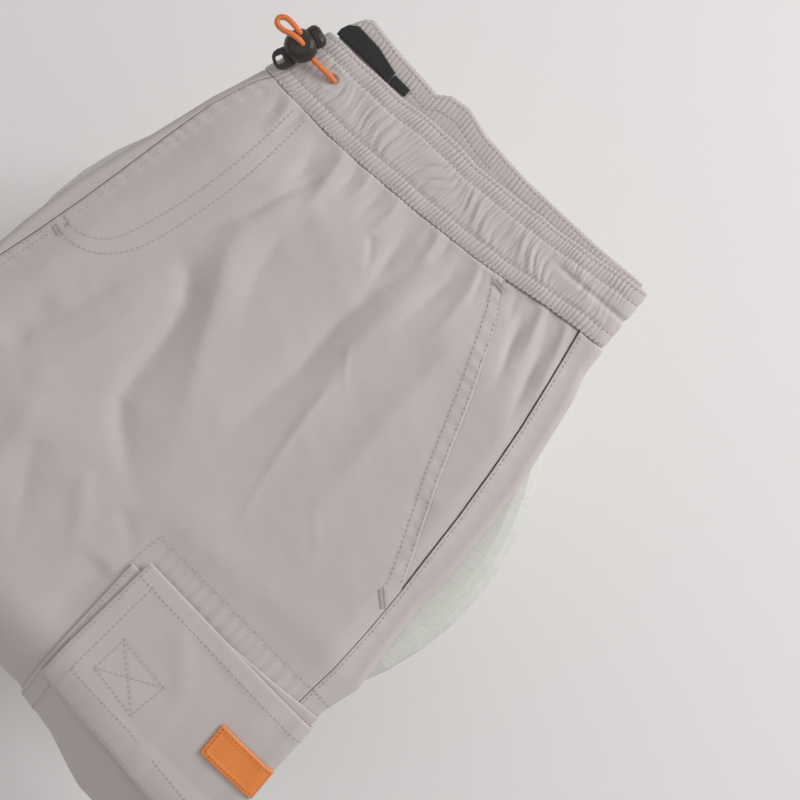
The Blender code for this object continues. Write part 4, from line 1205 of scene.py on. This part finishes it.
def main():
    camera_and_light()
    orange = cord_material("braided_cord", (0.92, 0.24, 0.055))
    cord, cord_points, cord_length = drawcord(orange)
    settle(cord, "cord", "drawcord")
    floor()
    cloth = cloth_material("stone_poplin", (0.615, 0.56, 0.545), (0.555, 0.503, 0.488))
    # A darker copy of the same poplin: painted shade for the hidden layers and the back waistband, which lie
    # under the front pieces.
    inside = cloth_material("stone_poplin_painted_shade", (0.58, 0.525, 0.51), (0.525, 0.475, 0.46))
    thread = plain_material("thread", (0.56, 0.51, 0.49), 0.6)
    dark_thread = plain_material("patch_thread", (0.42, 0.09, 0.02), 0.6)
    rubber = plain_material("orange_rubber", (0.90, 0.27, 0.06), 0.45, 0.00005, 900.0)
    black = plain_material("black_woven_tape", (0.016, 0.015, 0.016), 0.75, 0.00008, 1600.0, Sheen_Weight=0.2)
    plastic = plain_material("black_plastic", (0.028, 0.022, 0.020), 0.36, 0.00003, 700.0)
    kept = (("stand", stand_material()), ("cord_lock_body", plastic), ("cord_lock_button", plastic))
    for node, paint in kept:
        thing = bpy.data.objects[node]
        thing.data.materials.clear()
        thing.data.materials.append(paint)

    sheets = [
        (front_left(cloth), (0.300, 0.480), "laid", ["inner_layers"], 0.125),
        (front_right(cloth), (0.280, 0.480), "folded", ["stand"], 0.115),
        (back_left(cloth), (0.060, 0.480), "folded", ["inner_layers"], 0.0222),
        (pocket_facing(cloth), (0.060, 0.170), "laid", ["inner_layers"], 0.0066),
        (band_front(cloth), (0.290, 0.036), "gathered", ["waistband_back"], 0.0092),
        (cargo_pocket(cloth), (0.178, 0.180), "folded", ["front_left"], 0.0312),
        (cargo_flap(cloth), (0.180, 0.080), "folded", ["cargo_pocket"], 0.0128),
    ]
    inner_layers(inside)
    band_back(inside)
    rubber_patch(rubber)
    label_top = ((16.7, -37.5), (18.7, -42.0), (23.0, -44.7), (37.5, -43.0), (51.8, -38.4))
    label_low = ((16.7, -34.8), (51.8, -32.6))
    base = BACK_BAND_HIGH + GAP
    woven_tab("waist_label_tape", 17.0, 51.5, label_top, label_low, base, 1.0, black, "waist_label", 0.3)
    tab_top = ((52.0, -37.8), (62.6, -36.8))
    tab_low = ((52.0, -32.6), (62.6, -32.4))
    woven_tab("waist_tab_tape", 52.0, 62.4, tab_top, tab_low, base, 0.8, black, "waist_label_tab", 0.1)
    rows = body_stitches() + flap_stitches() + pocket_stitches() + band_stitches()
    stitches("seam_stitches", rows, 2.0, 0.42, 2.7, thread, "cloth")
    bartacks(thread)
    ring = np.array([(193.5, 0.1), (222.0, 0.1), (222.0, 0.9), (193.5, 0.9), (193.5, 0.1)])
    ring_depth = PATCH_TOP + PATCH_SLOPE * (ring[:, 0] - PATCH_LEFT) + PATCH_HEIGHT * ring[:, 1]
    ring = np.stack([ring[:, 0], ring_depth], -1)
    line = line_between(ring)
    rim = skin(line[:, 0], line[:, 1], flap_lift(line[:, 0], line[:, 1]) + FLAP_WALL + 1.62)
    stitches("patch_stitches", [rim], 1.7, 0.4, 2.2, dark_thread, "patch")


main()
